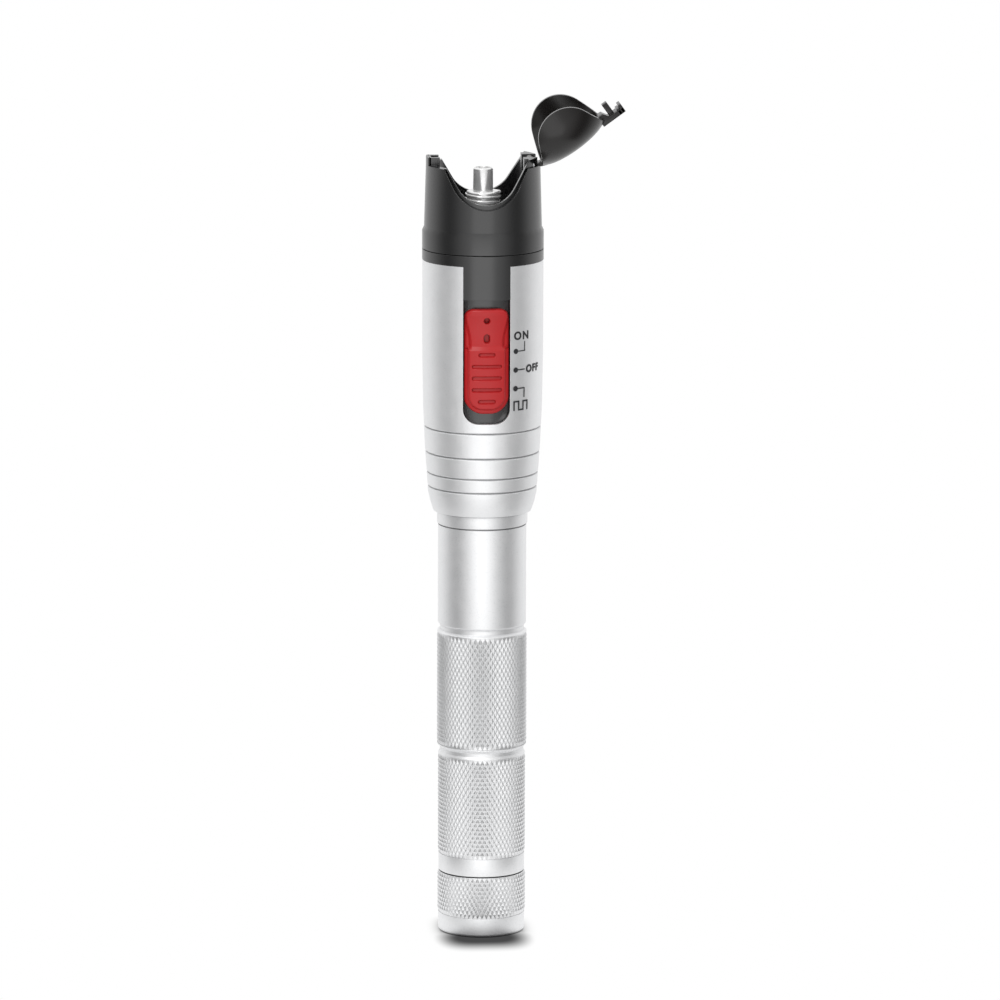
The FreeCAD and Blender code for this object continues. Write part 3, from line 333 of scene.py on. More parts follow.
nickel_plate = turned_metal("nickel_plate", (255, 255, 255), 0.20, 8.0, 0.66, 0.0003)
spring_steel = turned_metal("spring_steel", (200, 200, 202), 0.28, 12.0)
pin_steel = turned_metal("pin_steel", (188, 188, 190), 0.25, 5.0)
turned_brass = turned_metal("turned_brass", (214, 178, 104), 0.24, 6.0)
print("bright metals ready")

# %% Ceramic, glass, rubber, board and cell
CELL_HALF = 25.0
CELL_BAND = 9.0


def plain_part(name, dark, light, rough, per_mm, grain_mm, **constants):
    """A quiet material: two close shades and a slight grain."""
    made = Finish(name, **constants)
    grain = made.noise(per_mm, 3.0)
    body = made.between(grain, dark, light)
    return made.surface(body, grain * 0.12 + (rough - 0.06), grain, grain_mm, 0.06)


zirconia = plain_part("zirconia", (226, 224, 216), (240, 239, 233), 0.22, 4.0, 0.001)
lens_glass = plain_part("lens_glass", (236, 242, 244), (244, 248, 250), 0.06, 2.0, 0.0005,
                        Transmission_Weight=1.0, IOR=1.52)
ring_rubber = plain_part("ring_rubber", (26, 26, 27), (38, 38, 39), 0.62, 5.0, 0.006)
board_laminate = plain_part("board_laminate", (22, 74, 48), (34, 96, 60), 0.4, 3.0, 0.004)
chip_resin = plain_part("chip_resin", (28, 28, 30), (40, 40, 42), 0.55, 8.0, 0.004)
battery_sleeve = Finish("cell_sleeve", Coat_Weight=0.3)
scuffs = battery_sleeve.noise(1.5)
along = battery_sleeve.z - low_mm("cell_rear").z
band = battery_sleeve.z.math("PINGPONG", along, CELL_HALF) < CELL_BAND
shades = battery_sleeve.between(band, (52, 56, 62), (176, 120, 52))
battery_sleeve.surface(shades, scuffs * 0.1 + 0.25, scuffs, 0.002, 0.2)
print("inner finishes ready")

# %% [markdown]
# ## Dress the CAD nodes that stay as they are
#
# A CAD node is never moved or reshaped here, but its material may change.

# %% Finishes of the carried-over nodes
NODE_FINISHES = (
    (nickel_plate, "tail_contact_plate", "connector_nut"),
    (spring_steel, "tail_spring"),
    (ring_rubber, "barrel_o_ring", "tail_o_ring"),
    (battery_sleeve, "cell_rear", "cell_front"),
    (switch_plastic, "contact_insulator", "switch_lever"),
    (board_laminate, "front_contact_board", "circuit_board"),
    (turned_brass, "front_contact", "laser_housing", "lens_ring"),
    (pin_steel, "slide_switch_case", "laser_diode", "diode_leads", "hinge_pin"),
    (chip_resin, "driver_chip"),
    (lens_glass, "lens"),
    (zirconia, "ferrule_sleeve"),
)


def give_finish(thing, finish):
    """Make a finish the only material of an object."""
    thing.data.materials.clear()
    thing.data.materials.append(finish.material)


for node_finish, *node_names in NODE_FINISHES:
    for node_name in node_names:
        give_finish(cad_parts[node_name], node_finish)
    print(node_finish.material.name, "on", *node_names)

# %% [markdown]
# ## Turned shapes with broken edges
#
# A lathe leaves every edge slightly broken, and that thin rounding catches the light. So each
# corner of a section becomes a small arc, and the section is carried round the axis, ring by ring.

# %% Mesh helpers
ON_AXIS = 1e-6
LEAST_ROUND = 0.01
SIDE_SHARE = 0.4
ALMOST_STRAIGHT = radians(165)
MERGE_MM = 0.001
SHARP = radians(40)


def rounded(corners, fillet):
    """An outline with small arcs for corners, as far as the sides leave room."""
    points = []
    for number, (across, up) in enumerate(corners):
        here = Vector((across, up))
        before = Vector(corners[number - 1]) - here
        after = Vector(corners[(number + 1) % len(corners)]) - here
        room = min(fillet, SIDE_SHARE * before.length, SIDE_SHARE * after.length)
        if across < ON_AXIS or room < LEAST_ROUND or before.angle(after) > ALMOST_STRAIGHT:
            points.append(here)
            continue
        start = here + before.normalized() * room
        end = here + after.normalized() * room
        for share in (0, 0.33, 0.67, 1):
            points.append(start.lerp(here, share).lerp(here.lerp(end, share), share))
    return points


def arc(across, up, radius, start, end, steps):
    """Points on an arc round a centre, from one angle to another, with both ends."""
    turns = [start + (end - start) * step / steps for step in range(steps + 1)]
    return [(across + radius * cos(turn), up + radius * sin(turn)) for turn in turns]


def strip(work, one, other, closed=True):
    """Faces between two rows of points, if closed back to the start."""
    for number in range(len(one) if closed else len(one) - 1):
        following = (number + 1) % len(one)
        work.faces.new((one[number], one[following], other[following], other[number]))


def tidied(work):
    """Merge doubles, drop collapsed faces and turn every face outwards."""
    bmesh.ops.remove_doubles(work, verts=work.verts, dist=MERGE_MM)
    bmesh.ops.dissolve_degenerate(work, edges=work.edges, dist=MERGE_MM / 10)
    bmesh.ops.recalc_face_normals(work, faces=work.faces)
    return work


def turned(runs, fillet=0.12, sides=144):
    """A solid turned about the upright axis, from runs of a radius and its heights."""
    section = rounded([(radius, up) for radius, *heights in runs for up in heights], fillet)
    work = bmesh.new()
    rings = []
    for side in range(sides):
        turn = 2 * pi * side / sides
        spots = [(p.x * cos(turn), p.x * sin(turn), p.y) for p in section]
        rings.append([work.verts.new(spot) for spot in spots])
    for side, ring in enumerate(rings):
        strip(work, ring, rings[(side + 1) % sides])
    return tidied(work)


def prism(corners, low, high):
    """A solid from an outline of (across, height) corners, between two depths."""
    work = bmesh.new()
    front, back = ([work.verts.new((across, depth, up)) for across, up in corners]
                   for depth in (low, high))
    work.faces.new(front)
    work.faces.new(back[::-1])
    strip(work, back, front)
    return tidied(work)


def block(xs, ys, zs):
    """A box between two values on each axis."""
    corners = [(xs[0], zs[0]), (xs[1], zs[0]), (xs[1], zs[1]), (xs[0], zs[1])]
    return prism(corners, *ys)


def broken_edges(work, width):
    """Round every sharp edge by a small width."""
    sharp = [edge for edge in work.edges if edge.calc_face_angle(0) > SHARP]
    bmesh.ops.bevel(work, geom=sharp, offset=width, segments=2, profile=0.5,
                    affect="EDGES", clamp_overlap=True)
    return work


def as_mesh(work, name="part"):
    """A mesh in metres from a working mesh in millimetres; a ready mesh stays."""
    if isinstance(work, bpy.types.Mesh):
        return work
    work.transform(Matrix.Scale(MM, 4))
    mesh = bpy.data.meshes.new(name)
    work.to_mesh(mesh)
    work.free()
    return mesh


def joined(parts):
    """Several working meshes as one."""
    whole = bmesh.new()
    for part in parts:
        spare = bpy.data.meshes.new("spare")
        part.to_mesh(spare)
        part.free()
        whole.from_mesh(spare)
        bpy.data.meshes.remove(spare)
    return whole


print("mesh helpers ready")

# %% [markdown]
# ## From mesh to piece
#
# Each piece needs its object at the origin, smooth shading that stops at real edges, its finish,
# the body it rides on, and the CAD nodes it stands for, which are hidden.

# %% The piece function
SMOOTH_TO = 32
FLAT_TO = radians(0.5)


def placed(name, data):
    """A new object in the scene, at the origin."""
    made = bpy.data.objects.new(name, data)
    bpy.context.scene.collection.objects.link(made)
    return made


def taken_from(host):
    """The finished mesh of an object, which is then removed."""
    graph = bpy.context.evaluated_depsgraph_get()
    mesh = bpy.data.meshes.new_from_object(host.evaluated_get(graph))
    bpy.data.objects.remove(host)
    return mesh


def smoothed(mesh, smooth_to):
    """Smooth shading that stops at edges sharper than an angle in degrees."""
    mesh.shade_smooth()
    mesh.set_sharp_from_angle(angle=radians(smooth_to))


def piece(name, shape, finish, body, stands_for=(), smooth_to=SMOOTH_TO):
    """Add a mesh as a named piece that rides on a CAD body."""
    mesh = as_mesh(shape, name)
    made = placed(name, mesh)
    if smooth_to:
        smoothed(mesh, smooth_to)
    give_finish(made, finish)
    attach(made, body)
    if stands_for:
        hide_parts(*stands_for)
    print(f"{name}: {len(mesh.polygons)} faces on {body}")


def merged_copy(node):
    """A CAD node's mesh with its triangles merged and flat ones joined."""
    work = bmesh.new()
    work.from_mesh(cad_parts[node].data)
    bmesh.ops.remove_doubles(work, verts=work.verts, dist=MERGE_MM * MM)
    bmesh.ops.dissolve_limit(work, angle_limit=FLAT_TO, use_dissolve_boundaries=False,
                             verts=work.verts, edges=work.edges, delimit=set())
    mesh = bpy.data.meshes.new(node + "_dressed")
    work.to_mesh(mesh)
    work.free()
    for kept in ("custom_normal", "sharp_edge", "sharp_face"):
        if kept in mesh.attributes:
            mesh.attributes.remove(mesh.attributes[kept])
    return mesh


def evened(mesh):
    """Smooth shading in which large faces decide, so that flat walls stay flat."""
    smoothed(mesh, SMOOTH_TO)
    host = placed("evened", mesh)
    weighted = host.modifiers.new("weighted", "WEIGHTED_NORMAL")
    weighted.keep_sharp = True
    weighted.weight = 100
    return taken_from(host)

# %% [markdown]
# ## Head, collar and nose
#
# Copies of the CAD nodes, merged so that round walls shade smoothly and real edges stay crisp. The
# foot of the switch slot gets corners, and the lip is kept only as a small tab at the tip of the
# left horn. A turned skin then finishes the nose's outer wall.

# %% Carving
U_CENTRE = HORN_TOP - 2.3
THROUGH = 20


def u_outline(radius, flare, top):
    """A U with a round bottom, whose straight sides flare to the horn tops."""
    rise = HORN_TOP - U_CENTRE
    square = flare ** 2 + rise ** 2
    reach = sqrt(square - radius ** 2)
    across = (radius ** 2 * flare + radius * reach * rise) / square
    lift = (radius ** 2 * rise - radius * reach * flare) / square
    slope = (flare - across) / (rise - lift)
    wide = flare + slope * (top - HORN_TOP)
    first = atan2(lift, across)
    bottom = arc(0, U_CENTRE, radius, first, -pi - first, 28)
    return [(wide, top), *bottom, (-wide, top)]


def carved(base, tool, operation="DIFFERENCE"):
    """The result of one exact Boolean between two meshes, as a plain mesh."""
    host, other = placed("base", as_mesh(base)), placed("tool", as_mesh(tool))
    boolean = host.modifiers.new("carve", "BOOLEAN")
    boolean.operation = operation
    boolean.solver = "EXACT"
    boolean.object = other
    result = taken_from(host)
    bpy.data.objects.remove(other)
    return result


print("U centre at", round(U_CENTRE, 2), "mm")

# %% Pieces made from merged copies
SLOT_HALF_WIDTH = 5.0
SLOT_FLOOR = KNOB_LOW - 2.25
SLOT_CORNER = 3.2
SLOT_CUT_HIGH = 6.0
SLOT_SPAN = (-14.0, -9.4)
TAB_HALF = 2.6
CHEEK_OUT = 11.6
CHEEK_IN = 9.35
CHEEK_GAP = 1.4
LEDGE = HORN_TOP - 1.65
CLEAR = HORN_TOP + 1
BESIDE_TAB = ((-15.4, -TAB_HALF), (TAB_HALF, 15.4))


def slot_foot():
    """The foot of the switch slot: a straight floor between two rounded corners."""
    high = SLOT_FLOOR + SLOT_CUT_HIGH
    points = [(-SLOT_HALF_WIDTH, high), (SLOT_HALF_WIDTH, high)]
    for side, start in ((1, 0.0), (-1, -pi / 2)):
        centre = side * (SLOT_HALF_WIDTH - SLOT_CORNER), SLOT_FLOOR + SLOT_CORNER
        points += arc(*centre, SLOT_CORNER, start, start - pi / 2, 8)
    return prism(points, *SLOT_SPAN)


def cut_blocks(mesh, blocks):
    """A mesh less some boxes, each given by its ranges along x, y and z."""
    for ranges in blocks:
        mesh = carved(mesh, block(*ranges))
    return mesh


nose_copy = cut_blocks(merged_copy("nose_housing"),
                       [((-14, -4), span, (LEDGE, CLEAR)) for span in BESIDE_TAB])
for span in ((-TAB_HALF, -CHEEK_GAP), (CHEEK_GAP, TAB_HALF)):
    cheek = block((-CHEEK_OUT, -CHEEK_IN), span, (LEDGE - 0.4, HORN_TOP))
    nose_copy = carved(nose_copy, cheek, "UNION")
COPIES = {
    "head_shell": (carved(merged_copy("head_shell"), slot_foot()), head_metal, "silver_metal"),
    "inner_chassis": (merged_copy("inner_chassis"), nose_plastic, "black_plastic"),
    "nose_housing": (nose_copy, nose_plastic, "black_plastic"),
}
for node_name, (node_copy, node_finish, slot_name) in COPIES.items():
    piece(node_name + "_dressed", evened(node_copy), node_finish, "main",
          [node_name], smooth_to=None)

# %% Nose skin
SKIN_LOW = HORN_TOP - 14.85
SKIN_STEP = 12.495
SKIN_TOP = 12.115
SKIN_INNER = 11.5
SKIN_U = (7.73, 9.58)
SKIN_RUNS = (
    (SKIN_INNER, SKIN_LOW),
    (SKIN_STEP, SKIN_LOW),
    (SKIN_TOP, LEDGE, HORN_TOP),
    (SKIN_INNER, HORN_TOP),
)
SKIN_CUTS = (
    *(((-14, 14), span, (LEDGE, CLEAR)) for span in BESIDE_TAB),
    ((4, 14), (-3, 3), (LEDGE, CLEAR)),
    ((4, 14), (-2.25, 2.25), (PIN_HEIGHT - 1.1, CLEAR)),
)
skin_u = prism(u_outline(*SKIN_U, HORN_TOP + 2), -THROUGH, THROUGH)
skin = cut_blocks(carved(turned(SKIN_RUNS, 0.05, 180), skin_u), SKIN_CUTS)
piece("nose_skin", evened(skin), nose_plastic, "main", smooth_to=None)

# %% [markdown]
# ## Slide button
#
# A finger dish, a raised grip with five slots, two small holes: such a face is easiest as a height
# for every point of a fine grid. The grid follows the outline, the heights are sums of soft steps,
# and the sheet is bent round the head's axis and closed by a plain back.

# %% Heights on the button
KNOB_HALF = high_mm("slider_knob").x
KNOB_FRONT = -low_mm("slider_knob").y
KNOB_BACK = KNOB_FRONT - 1.85
FACE_DROP = 0.6
TOP_ROUND = 2.2
LOW_ROUND = 4.0
EDGE_ROUND = 0.7
GRIP_HALF = 4.2
GRIP_LOW = KNOB_LOW + 0.75
GRIP_HIGH = KNOB_LOW + 14.45
SLOT_PITCH = 2.5
SLOT_FIRST = GRIP_HIGH - 1.75
SLOT_HALF = 0.5
SLOT_DEPTH = 0.5
SLOT_LENGTHS = (3.7, 6.5, 6.5, 6.5, 3.9)
DISH_HALF = 3.6
DISH_SIDE_DROP = 0.45
HOLE_DEPTH = 1.3
HOLES = ((KNOB_HIGH - 2.45, 0.0, 0.68), (KNOB_HIGH - 6.3, 0.32, 0.66))


def soft_step(value, wide):
    """From 0 to 1, without corners, as a value goes from 0 to a width."""
    share = min(max(value / wide, 0.0), 1.0)
    return share * share * (3 - 2 * share)


def inside_by(across, up, half, low, high, low_round, high_round):
    """How far a point lies inside a rounded outline; negative outside."""
    middle, reach = (low + high) / 2, (high - low) / 2
    corner = high_round if up > middle else low_round
    over_x = abs(across) - half + corner
    over_z = abs(up - middle) - reach + corner
    beyond = hypot(max(over_x, 0.0), max(over_z, 0.0))
    return corner - beyond - min(max(over_x, over_z), 0.0)


def knob_rise(across, up):
    """Height of the button's face above its plate, in millimetres."""
    grip_side = inside_by(across, up, GRIP_HALF, GRIP_LOW, GRIP_HIGH + 3, 3.3, 1.0)
    on_grip = min(soft_step(grip_side, 0.6), soft_step(GRIP_HIGH + 0.2 - up, 1.2))
    rise = FACE_DROP * on_grip
    above = min(max((up - GRIP_HIGH) / (KNOB_HIGH - GRIP_HIGH), 0.0), 1.0)
    if up > GRIP_HIGH - 0.6:
        dish_half = DISH_HALF + soft_step(above - 0.1, 0.75)
        dish = soft_step(dish_half + 0.25 - abs(across), 0.7)
        scoop = 0.12 + 0.5 * above ** 1.6 - 0.22 * sin(pi * min(above * 1.2, 1.0))
        rise += (1.0 - on_grip) * (dish * scoop - (1.0 - dish) * DISH_SIDE_DROP)
    for number, length in enumerate(SLOT_LENGTHS):
        beside = max(abs(across) - length / 2 + SLOT_HALF, 0.0)
        away = hypot(beside, up - (SLOT_FIRST - number * SLOT_PITCH))
        rise -= SLOT_DEPTH * soft_step(SLOT_HALF - away, 0.24)
    for height, stretch, radius in HOLES:
        away = hypot(across, max(abs(up - height) - stretch, 0.0))
        rise -= HOLE_DEPTH * soft_step(radius - away, 0.14)
    edge = inside_by(across, up, KNOB_HALF, KNOB_LOW, KNOB_HIGH, LOW_ROUND, TOP_ROUND)
    gone = max(EDGE_ROUND - edge, 0.0)
    return rise - (EDGE_ROUND - sqrt(max(EDGE_ROUND ** 2 - gone ** 2, 0.0)))


print("grip rises", FACE_DROP, "mm; slots", len(SLOT_LENGTHS))

# %% Bend the grid round the head
COLUMNS = 92
ROWS = 270


def knob_half_at(up):
    """Half the button's width at a height."""
    to_top, to_low = KNOB_HIGH - up, up - KNOB_LOW
    corner, near = (TOP_ROUND, to_top) if to_top < to_low else (LOW_ROUND, to_low)
    inward = max(corner - near, 0.0)
    return KNOB_HALF - corner + sqrt(max(corner ** 2 - inward ** 2, 0.0))


def knob_work():
    """The button as a front and a back sheet of points, closed along their rims."""
    work = bmesh.new()
    sheets = []
    for back in (False, True):
        sheet = []
        for row in range(ROWS + 1):
            share = 0.5 - 0.5 * cos(pi * row / ROWS)
            up = KNOB_LOW + (KNOB_HIGH - KNOB_LOW) * share
            line = []
            for column in range(COLUMNS + 1):
                across = knob_half_at(up) * (2 * column / COLUMNS - 1)
                front_radius = KNOB_FRONT - FACE_DROP + knob_rise(across, up)
                radius = KNOB_BACK if back else front_radius
                line.append(work.verts.new((across, -sqrt(radius ** 2 - across ** 2), up)))
            sheet.append(line)
        sheets.append(sheet)
        for low, high in zip(sheet, sheet[1:]):
            strip(work, low, high, closed=False)
    front, back = sheets
    rims = [(front[0], back[0]), (front[-1], back[-1])]
    rims += [([line[end] for line in front], [line[end] for line in back]) for end in (0, -1)]
    for outer, inner in rims:
        strip(work, outer, inner, closed=False)
    return tidied(work)


piece("slide_button", knob_work(), red_plastic, "slider", ["slider_knob"],
      smooth_to=50)

# %% [markdown]
# ## Barrel
#
# From the tail: the spigot inside the tail cap, a plain band, the rear grip, a groove, the front
# grip, a wider groove, a plain stretch, a turned line, the neck and the spigot inside the head.

# %% Barrel sizes and section
SEAM = 0.25
BAND_LEN = 3.8
REAR_GRIP_LEN = 21.85
FRONT_GRIP_LEN = 24.65
GROOVE_BEVEL = 0.6
GROOVE_FLAT = 0.75
RELIEF_BEVEL = 0.4
RELIEF_FLAT = 1.0
GRIP_RIM = 0.2
NECK_LEN = 2.65
LINE_LEN = 0.3
BARREL_BORE = 7.4
TAIL_SPIGOT = 8.5
HEAD_SPIGOT = 8.75
GROOVE_RADIUS = 8.95
BAND_RADIUS = 9.2
REAR_ROOT = 9.07
REAR_RIM = 9.3
FRONT_ROOT = 9.32
FRONT_RIM = 9.55
PLAIN_RADIUS = 9.42
NECK_RADIUS = 9.65

BAND_LOW = TAIL_TOP + SEAM
REAR_LOW = BAND_LOW + BAND_LEN
REAR_HIGH = REAR_LOW + REAR_GRIP_LEN
FRONT_LOW = REAR_HIGH + 2 * GROOVE_BEVEL + GROOVE_FLAT
FRONT_HIGH = FRONT_LOW + FRONT_GRIP_LEN
PLAIN_LOW = FRONT_HIGH + 2 * RELIEF_BEVEL + RELIEF_FLAT
NECK_HIGH = HEAD_LOW - 0.1
NECK_LOW = NECK_HIGH - NECK_LEN

BARREL_RUNS = (
    (BARREL_BORE, BARREL_LOW),
    (TAIL_SPIGOT, BARREL_LOW, BAND_LOW),
    (BAND_RADIUS, BAND_LOW, REAR_LOW),
    (REAR_ROOT, REAR_LOW, REAR_HIGH - GRIP_RIM),
    (REAR_RIM, REAR_HIGH - GRIP_RIM, REAR_HIGH),
    (GROOVE_RADIUS, REAR_HIGH + GROOVE_BEVEL, FRONT_LOW - GROOVE_BEVEL),
    (FRONT_RIM, FRONT_LOW, FRONT_LOW + GRIP_RIM),
    (FRONT_ROOT, FRONT_LOW + GRIP_RIM, FRONT_HIGH - GRIP_RIM),
    (FRONT_RIM, FRONT_HIGH - GRIP_RIM, FRONT_HIGH),
    (GROOVE_RADIUS, FRONT_HIGH + RELIEF_BEVEL, PLAIN_LOW - RELIEF_BEVEL),
    (PLAIN_RADIUS, PLAIN_LOW, NECK_LOW - LINE_LEN),
    (BAND_RADIUS, NECK_LOW - LINE_LEN, NECK_LOW),
    (NECK_RADIUS, NECK_LOW, NECK_HIGH),
    (HEAD_SPIGOT, NECK_HIGH, BARREL_TOP),
    (BARREL_BORE, BARREL_TOP),
)
piece("barrel_tube", turned(BARREL_RUNS, 0.14), barrel_metal, "main",
      ["barrel"])

# %% [markdown]
# ## Tail cap
#
# A plain end that is broken at the foot, then a knurled skirt. Inside are the pocket of the
# contact plate and the bore for the barrel's spigot, which show when the cap is screwed off.

# %% Tail cap section
CAP_RADIUS = 9.25
CAP_FOOT = 0.55
CAP_PLAIN_LEN = 4.2
CAP_ROOT = 9.15
CAP_FLOOR = 2.5
POCKET_RADIUS = 7.5
POCKET_TOP = 4.6
TAIL_RUNS = (
    (0, 0),
    (CAP_RADIUS - CAP_FOOT, 0),
    (CAP_RADIUS, CAP_FOOT, CAP_PLAIN_LEN),
    (CAP_ROOT, CAP_PLAIN_LEN, TAIL_TOP),
    (TAIL_SPIGOT + 0.1, TAIL_TOP, POCKET_TOP),
    (POCKET_RADIUS, POCKET_TOP, CAP_FLOOR),
    (0, CAP_FLOOR),
)
piece("tail_cap_shell", turned(TAIL_RUNS, 0.16), barrel_metal, "tail_cap",
      ["tail_cap"])

# %% [markdown]
# ## Knurl
#
# A knurling wheel presses two families of helical grooves that cross, and leaves rows of
# four-sided points. In Geometry Nodes, a grid is bent round the axis, and every second of its
# points, as on a chessboard, is lifted to the crest. Each square is split along its shorter
# diagonal: those are the grooves. The first and last rows fold inwards, which closes the ring.

# %% Geometry Nodes: one class and the knurl's recipe


class Recipe(Graph):
    """A Geometry Nodes tree with named inputs."""

    def __init__(self, name, finish, **sizes):
        super().__init__(bpy.data.node_groups.new(name, "GeometryNodeTree"))
        sockets = self.tree.interface
        for label, value in sizes.items():
            kind = "NodeSocketInt" if isinstance(value, int) else "NodeSocketFloat"
            sockets.new_socket(label, in_out="INPUT", socket_type=kind).default_value = value
        sockets.new_socket("Geometry", in_out="OUTPUT", socket_type="NodeSocketGeometry")
        self.given = self.tree.nodes.new("NodeGroupInput")
        self.material = finish.material

    def size(self, label):
        """A named input as a signal."""
        return Signal(self, self.given.outputs[label])

    def serve(self, geometry):
        """Realize, set the material and hand over the result."""
        real = self.first("GeometryNodeRealizeInstances", {0: geometry})
        coat = {0: real, "Material": self.material}
        out = self.node("NodeGroupOutput")
        self.feed(out.inputs[0], self.first("GeometryNodeSetMaterial", coat))
        return self

    def made(self, name, **values):
        """The recipe's result for these values, as a plain mesh."""
        host = placed(name, bpy.data.meshes.new("host"))
        modifier = host.modifiers.new("recipe", "NODES")
        modifier.node_group = self.tree
        for item in self.tree.interface.items_tree:
            if item.in_out == "INPUT" and item.name in values:
                modifier[item.identifier] = values[item.name]
        mesh = taken_from(host)
        mesh.name = name
        return mesh


def knurl_recipe():
    """Crossed grooves round the axis; sizes in metres."""
    recipe = Recipe("knurl", knurl_metal, Starts=60, Rows=28, Root=0.0093, Crest=0.0096,
                    Low=0.0, High=0.02)
    starts, rows = recipe.size("Starts"), recipe.size("Rows")
    columns = starts * 2.0
    grid = recipe.first("GeometryNodeMeshGrid", {
        "Size X": 1.0, "Size Y": 1.0, "Vertices X": columns + 1.0, "Vertices Y": rows + 4.0})
    along, up, _ = recipe.axes(recipe.first("GeometryNodeInputPosition"))
    column = ((along + 0.5) * columns).nearest()
    row = ((up + 0.5) * (rows + 3.0)).nearest()
    step = row.math("MODULO", column + row, 2.0)
    outside = (row > 1.5) * (row < rows + 0.5)
    skin = (row > 0.5) * (row < rows + 1.5)
    root, crest = recipe.size("Root"), recipe.size("Crest")
    crease_shade_share = root - 0.0002
    radius = crease_shade_share + skin * (root - crease_shade_share) + outside * step * (crest - root)
    share = ((row - 1.0) / rows).clamped() * (row < rows + 2.5)
    height = recipe.size("Low") + share * (recipe.size("High") - recipe.size("Low"))
    turn = column / columns * (2 * pi)
    spot = recipe.first("ShaderNodeCombineXYZ", {
        0: radius * turn.cosine(), 1: radius * turn.sine(), 2: height})
    bent = recipe.first("GeometryNodeSetPosition", {"Geometry": grid, "Position": spot})
    closed = recipe.first("GeometryNodeMergeByDistance", {"Geometry": bent, "Distance": 2e-6})
    shorter = {"quad_method": "SHORTEST_DIAGONAL"}
    return recipe.serve(recipe.first("GeometryNodeTriangulate", {"Mesh": closed}, shorter))


knurl = knurl_recipe()
print("knurl tree:", len(knurl.tree.nodes), "nodes")

# %% The three knurled sleeves
STARTS = 60
ROW_STEP = 0.905
ROOT_RISE = 0.03
KNURLS = (
    ("front_knurl", FRONT_LOW + GRIP_RIM, FRONT_HIGH - GRIP_RIM, FRONT_ROOT, 9.62, "main"),
    ("rear_knurl", REAR_LOW, REAR_HIGH - GRIP_RIM, REAR_ROOT, 9.38, "main"),
    ("tail_knurl", CAP_PLAIN_LEN, TAIL_TOP, CAP_ROOT, 9.45, "tail_cap"),
)
for knurl_name, low, high, root, crest, body_name in KNURLS:
    sleeve = knurl.made(
        knurl_name, Starts=STARTS, Rows=round((high - low) / ROW_STEP),
        Root=(root + ROOT_RISE) * MM, Crest=crest * MM, Low=low * MM, High=high * MM)
    piece(knurl_name, sleeve, knurl_metal, body_name, smooth_to=0)

# %% [markdown]
# ## Connector stub and guide tube
#
# A nickel-plated stub with a fine thread for an adapter, and a guide tube that rises from its
# middle. The thread is a ridge that climbs round the stub: a small round section along a spiral.

# %% The thread's recipe


def thread_recipe():
    """A ridge along a spiral; sizes in metres."""
    recipe = Recipe("thread", nickel_plate, Turns=4.0, Pitch=0.001, Path=0.0035, Ridge=0.0003,
                    Low=0.0)
    turns, path = recipe.size("Turns"), recipe.size("Path")
    spiral = recipe.first("GeometryNodeCurveSpiral", {
        "Resolution": 56, "Rotations": turns, "Start Radius": path, "End Radius": path,
        "Height": turns * recipe.size("Pitch")})
    lift = recipe.first("ShaderNodeCombineXYZ", {2: recipe.size("Low")})
    lifted = recipe.first("GeometryNodeSetPosition", {"Geometry": spiral, "Offset": lift})
    section = recipe.first("GeometryNodeCurvePrimitiveCircle", {
        "Resolution": 10, "Radius": recipe.size("Ridge")})
    return recipe.serve(recipe.first("GeometryNodeCurveToMesh", {
        "Curve": lifted, "Profile Curve": section, "Fill Caps": True}))


thread = thread_recipe()
print("thread tree:", len(thread.tree.nodes), "nodes")

# %% Stub, thread and tube
STUB_RADIUS = 3.85
THREAD_RIDGE = 0.3
THREAD_PITCH = 1.0
THREAD_TURNS = 4.0
FLANGE_RADIUS = 7.5
FLANGE_THICK = 1.6
NOSE_FLOOR = 1.6
SLEEVE_RADIUS = 5.4
LASER_SEAT = 4.05
TUBE_RADIUS = 2.1
TUBE_BORE = 1.62
TUBE_SEAT = TUBE_RADIUS + 0.05
LIGHT_HOLE = 1.6
stub_low, stub_top = low_mm("connector_body").z, high_mm("connector_body").z
tube_low, tube_top = low_mm("ferrule_tube").z, high_mm("ferrule_tube").z
flange_top = low_mm("connector_nut").z - NOSE_FLOOR
flange_low = flange_top - FLANGE_THICK
thread_root = STUB_RADIUS - THREAD_RIDGE
STUB_RUNS = (
    (LASER_SEAT, stub_low),
    (SLEEVE_RADIUS, stub_low, flange_low),
    (FLANGE_RADIUS, flange_low, flange_top),
    (thread_root, flange_top, stub_top - 0.3),
    (thread_root - 0.3, stub_top),
    (TUBE_SEAT, stub_top, tube_low),
    (LIGHT_HOLE, tube_low, flange_low),
    (LASER_SEAT, flange_low),
)
TUBE_RUNS = (
    (TUBE_BORE, tube_low),
    (TUBE_RADIUS, tube_low, tube_top - 0.25),
    (TUBE_RADIUS - 0.25, tube_top),
    (TUBE_BORE, tube_top),
)
ridge_low = stub_top - THREAD_RIDGE - THREAD_TURNS * THREAD_PITCH
ridge = thread.made("adapter_ridge", Turns=THREAD_TURNS, Pitch=THREAD_PITCH * MM,
                    Path=thread_root * MM, Ridge=THREAD_RIDGE * MM, Low=ridge_low * MM)
piece("connector_stub", turned(STUB_RUNS, 0.12, 96), nickel_plate, "main",
      ["connector_body"])
piece("adapter_ridge", ridge, nickel_plate, "main", smooth_to=80)
piece("guide_tube", turned(TUBE_RUNS, 0.1, 96), nickel_plate, "main", ["ferrule_tube"])

# %% [markdown]
# ## Dust cap
#
# A thin dome whose rim is cut to the same U as the nose's lip, so that shut it nests there. It is
# made shut, from two arcs and a Boolean, with arm, knuckle, latch plate, prong, nib and thumb nail
# as small blocks. Then the whole is turned open about its hinge pin.

# %% The dome
CAP_DOME_RADIUS = 11.5
CAP_WALL = 1.1
CAP_CORNER = 7.0
CAP_CROWN = 28.0
CAP_TOP = HORN_TOP + 2.1
CAP_U_RADIUS = 6.45
CAP_U_FLARE = 7.9


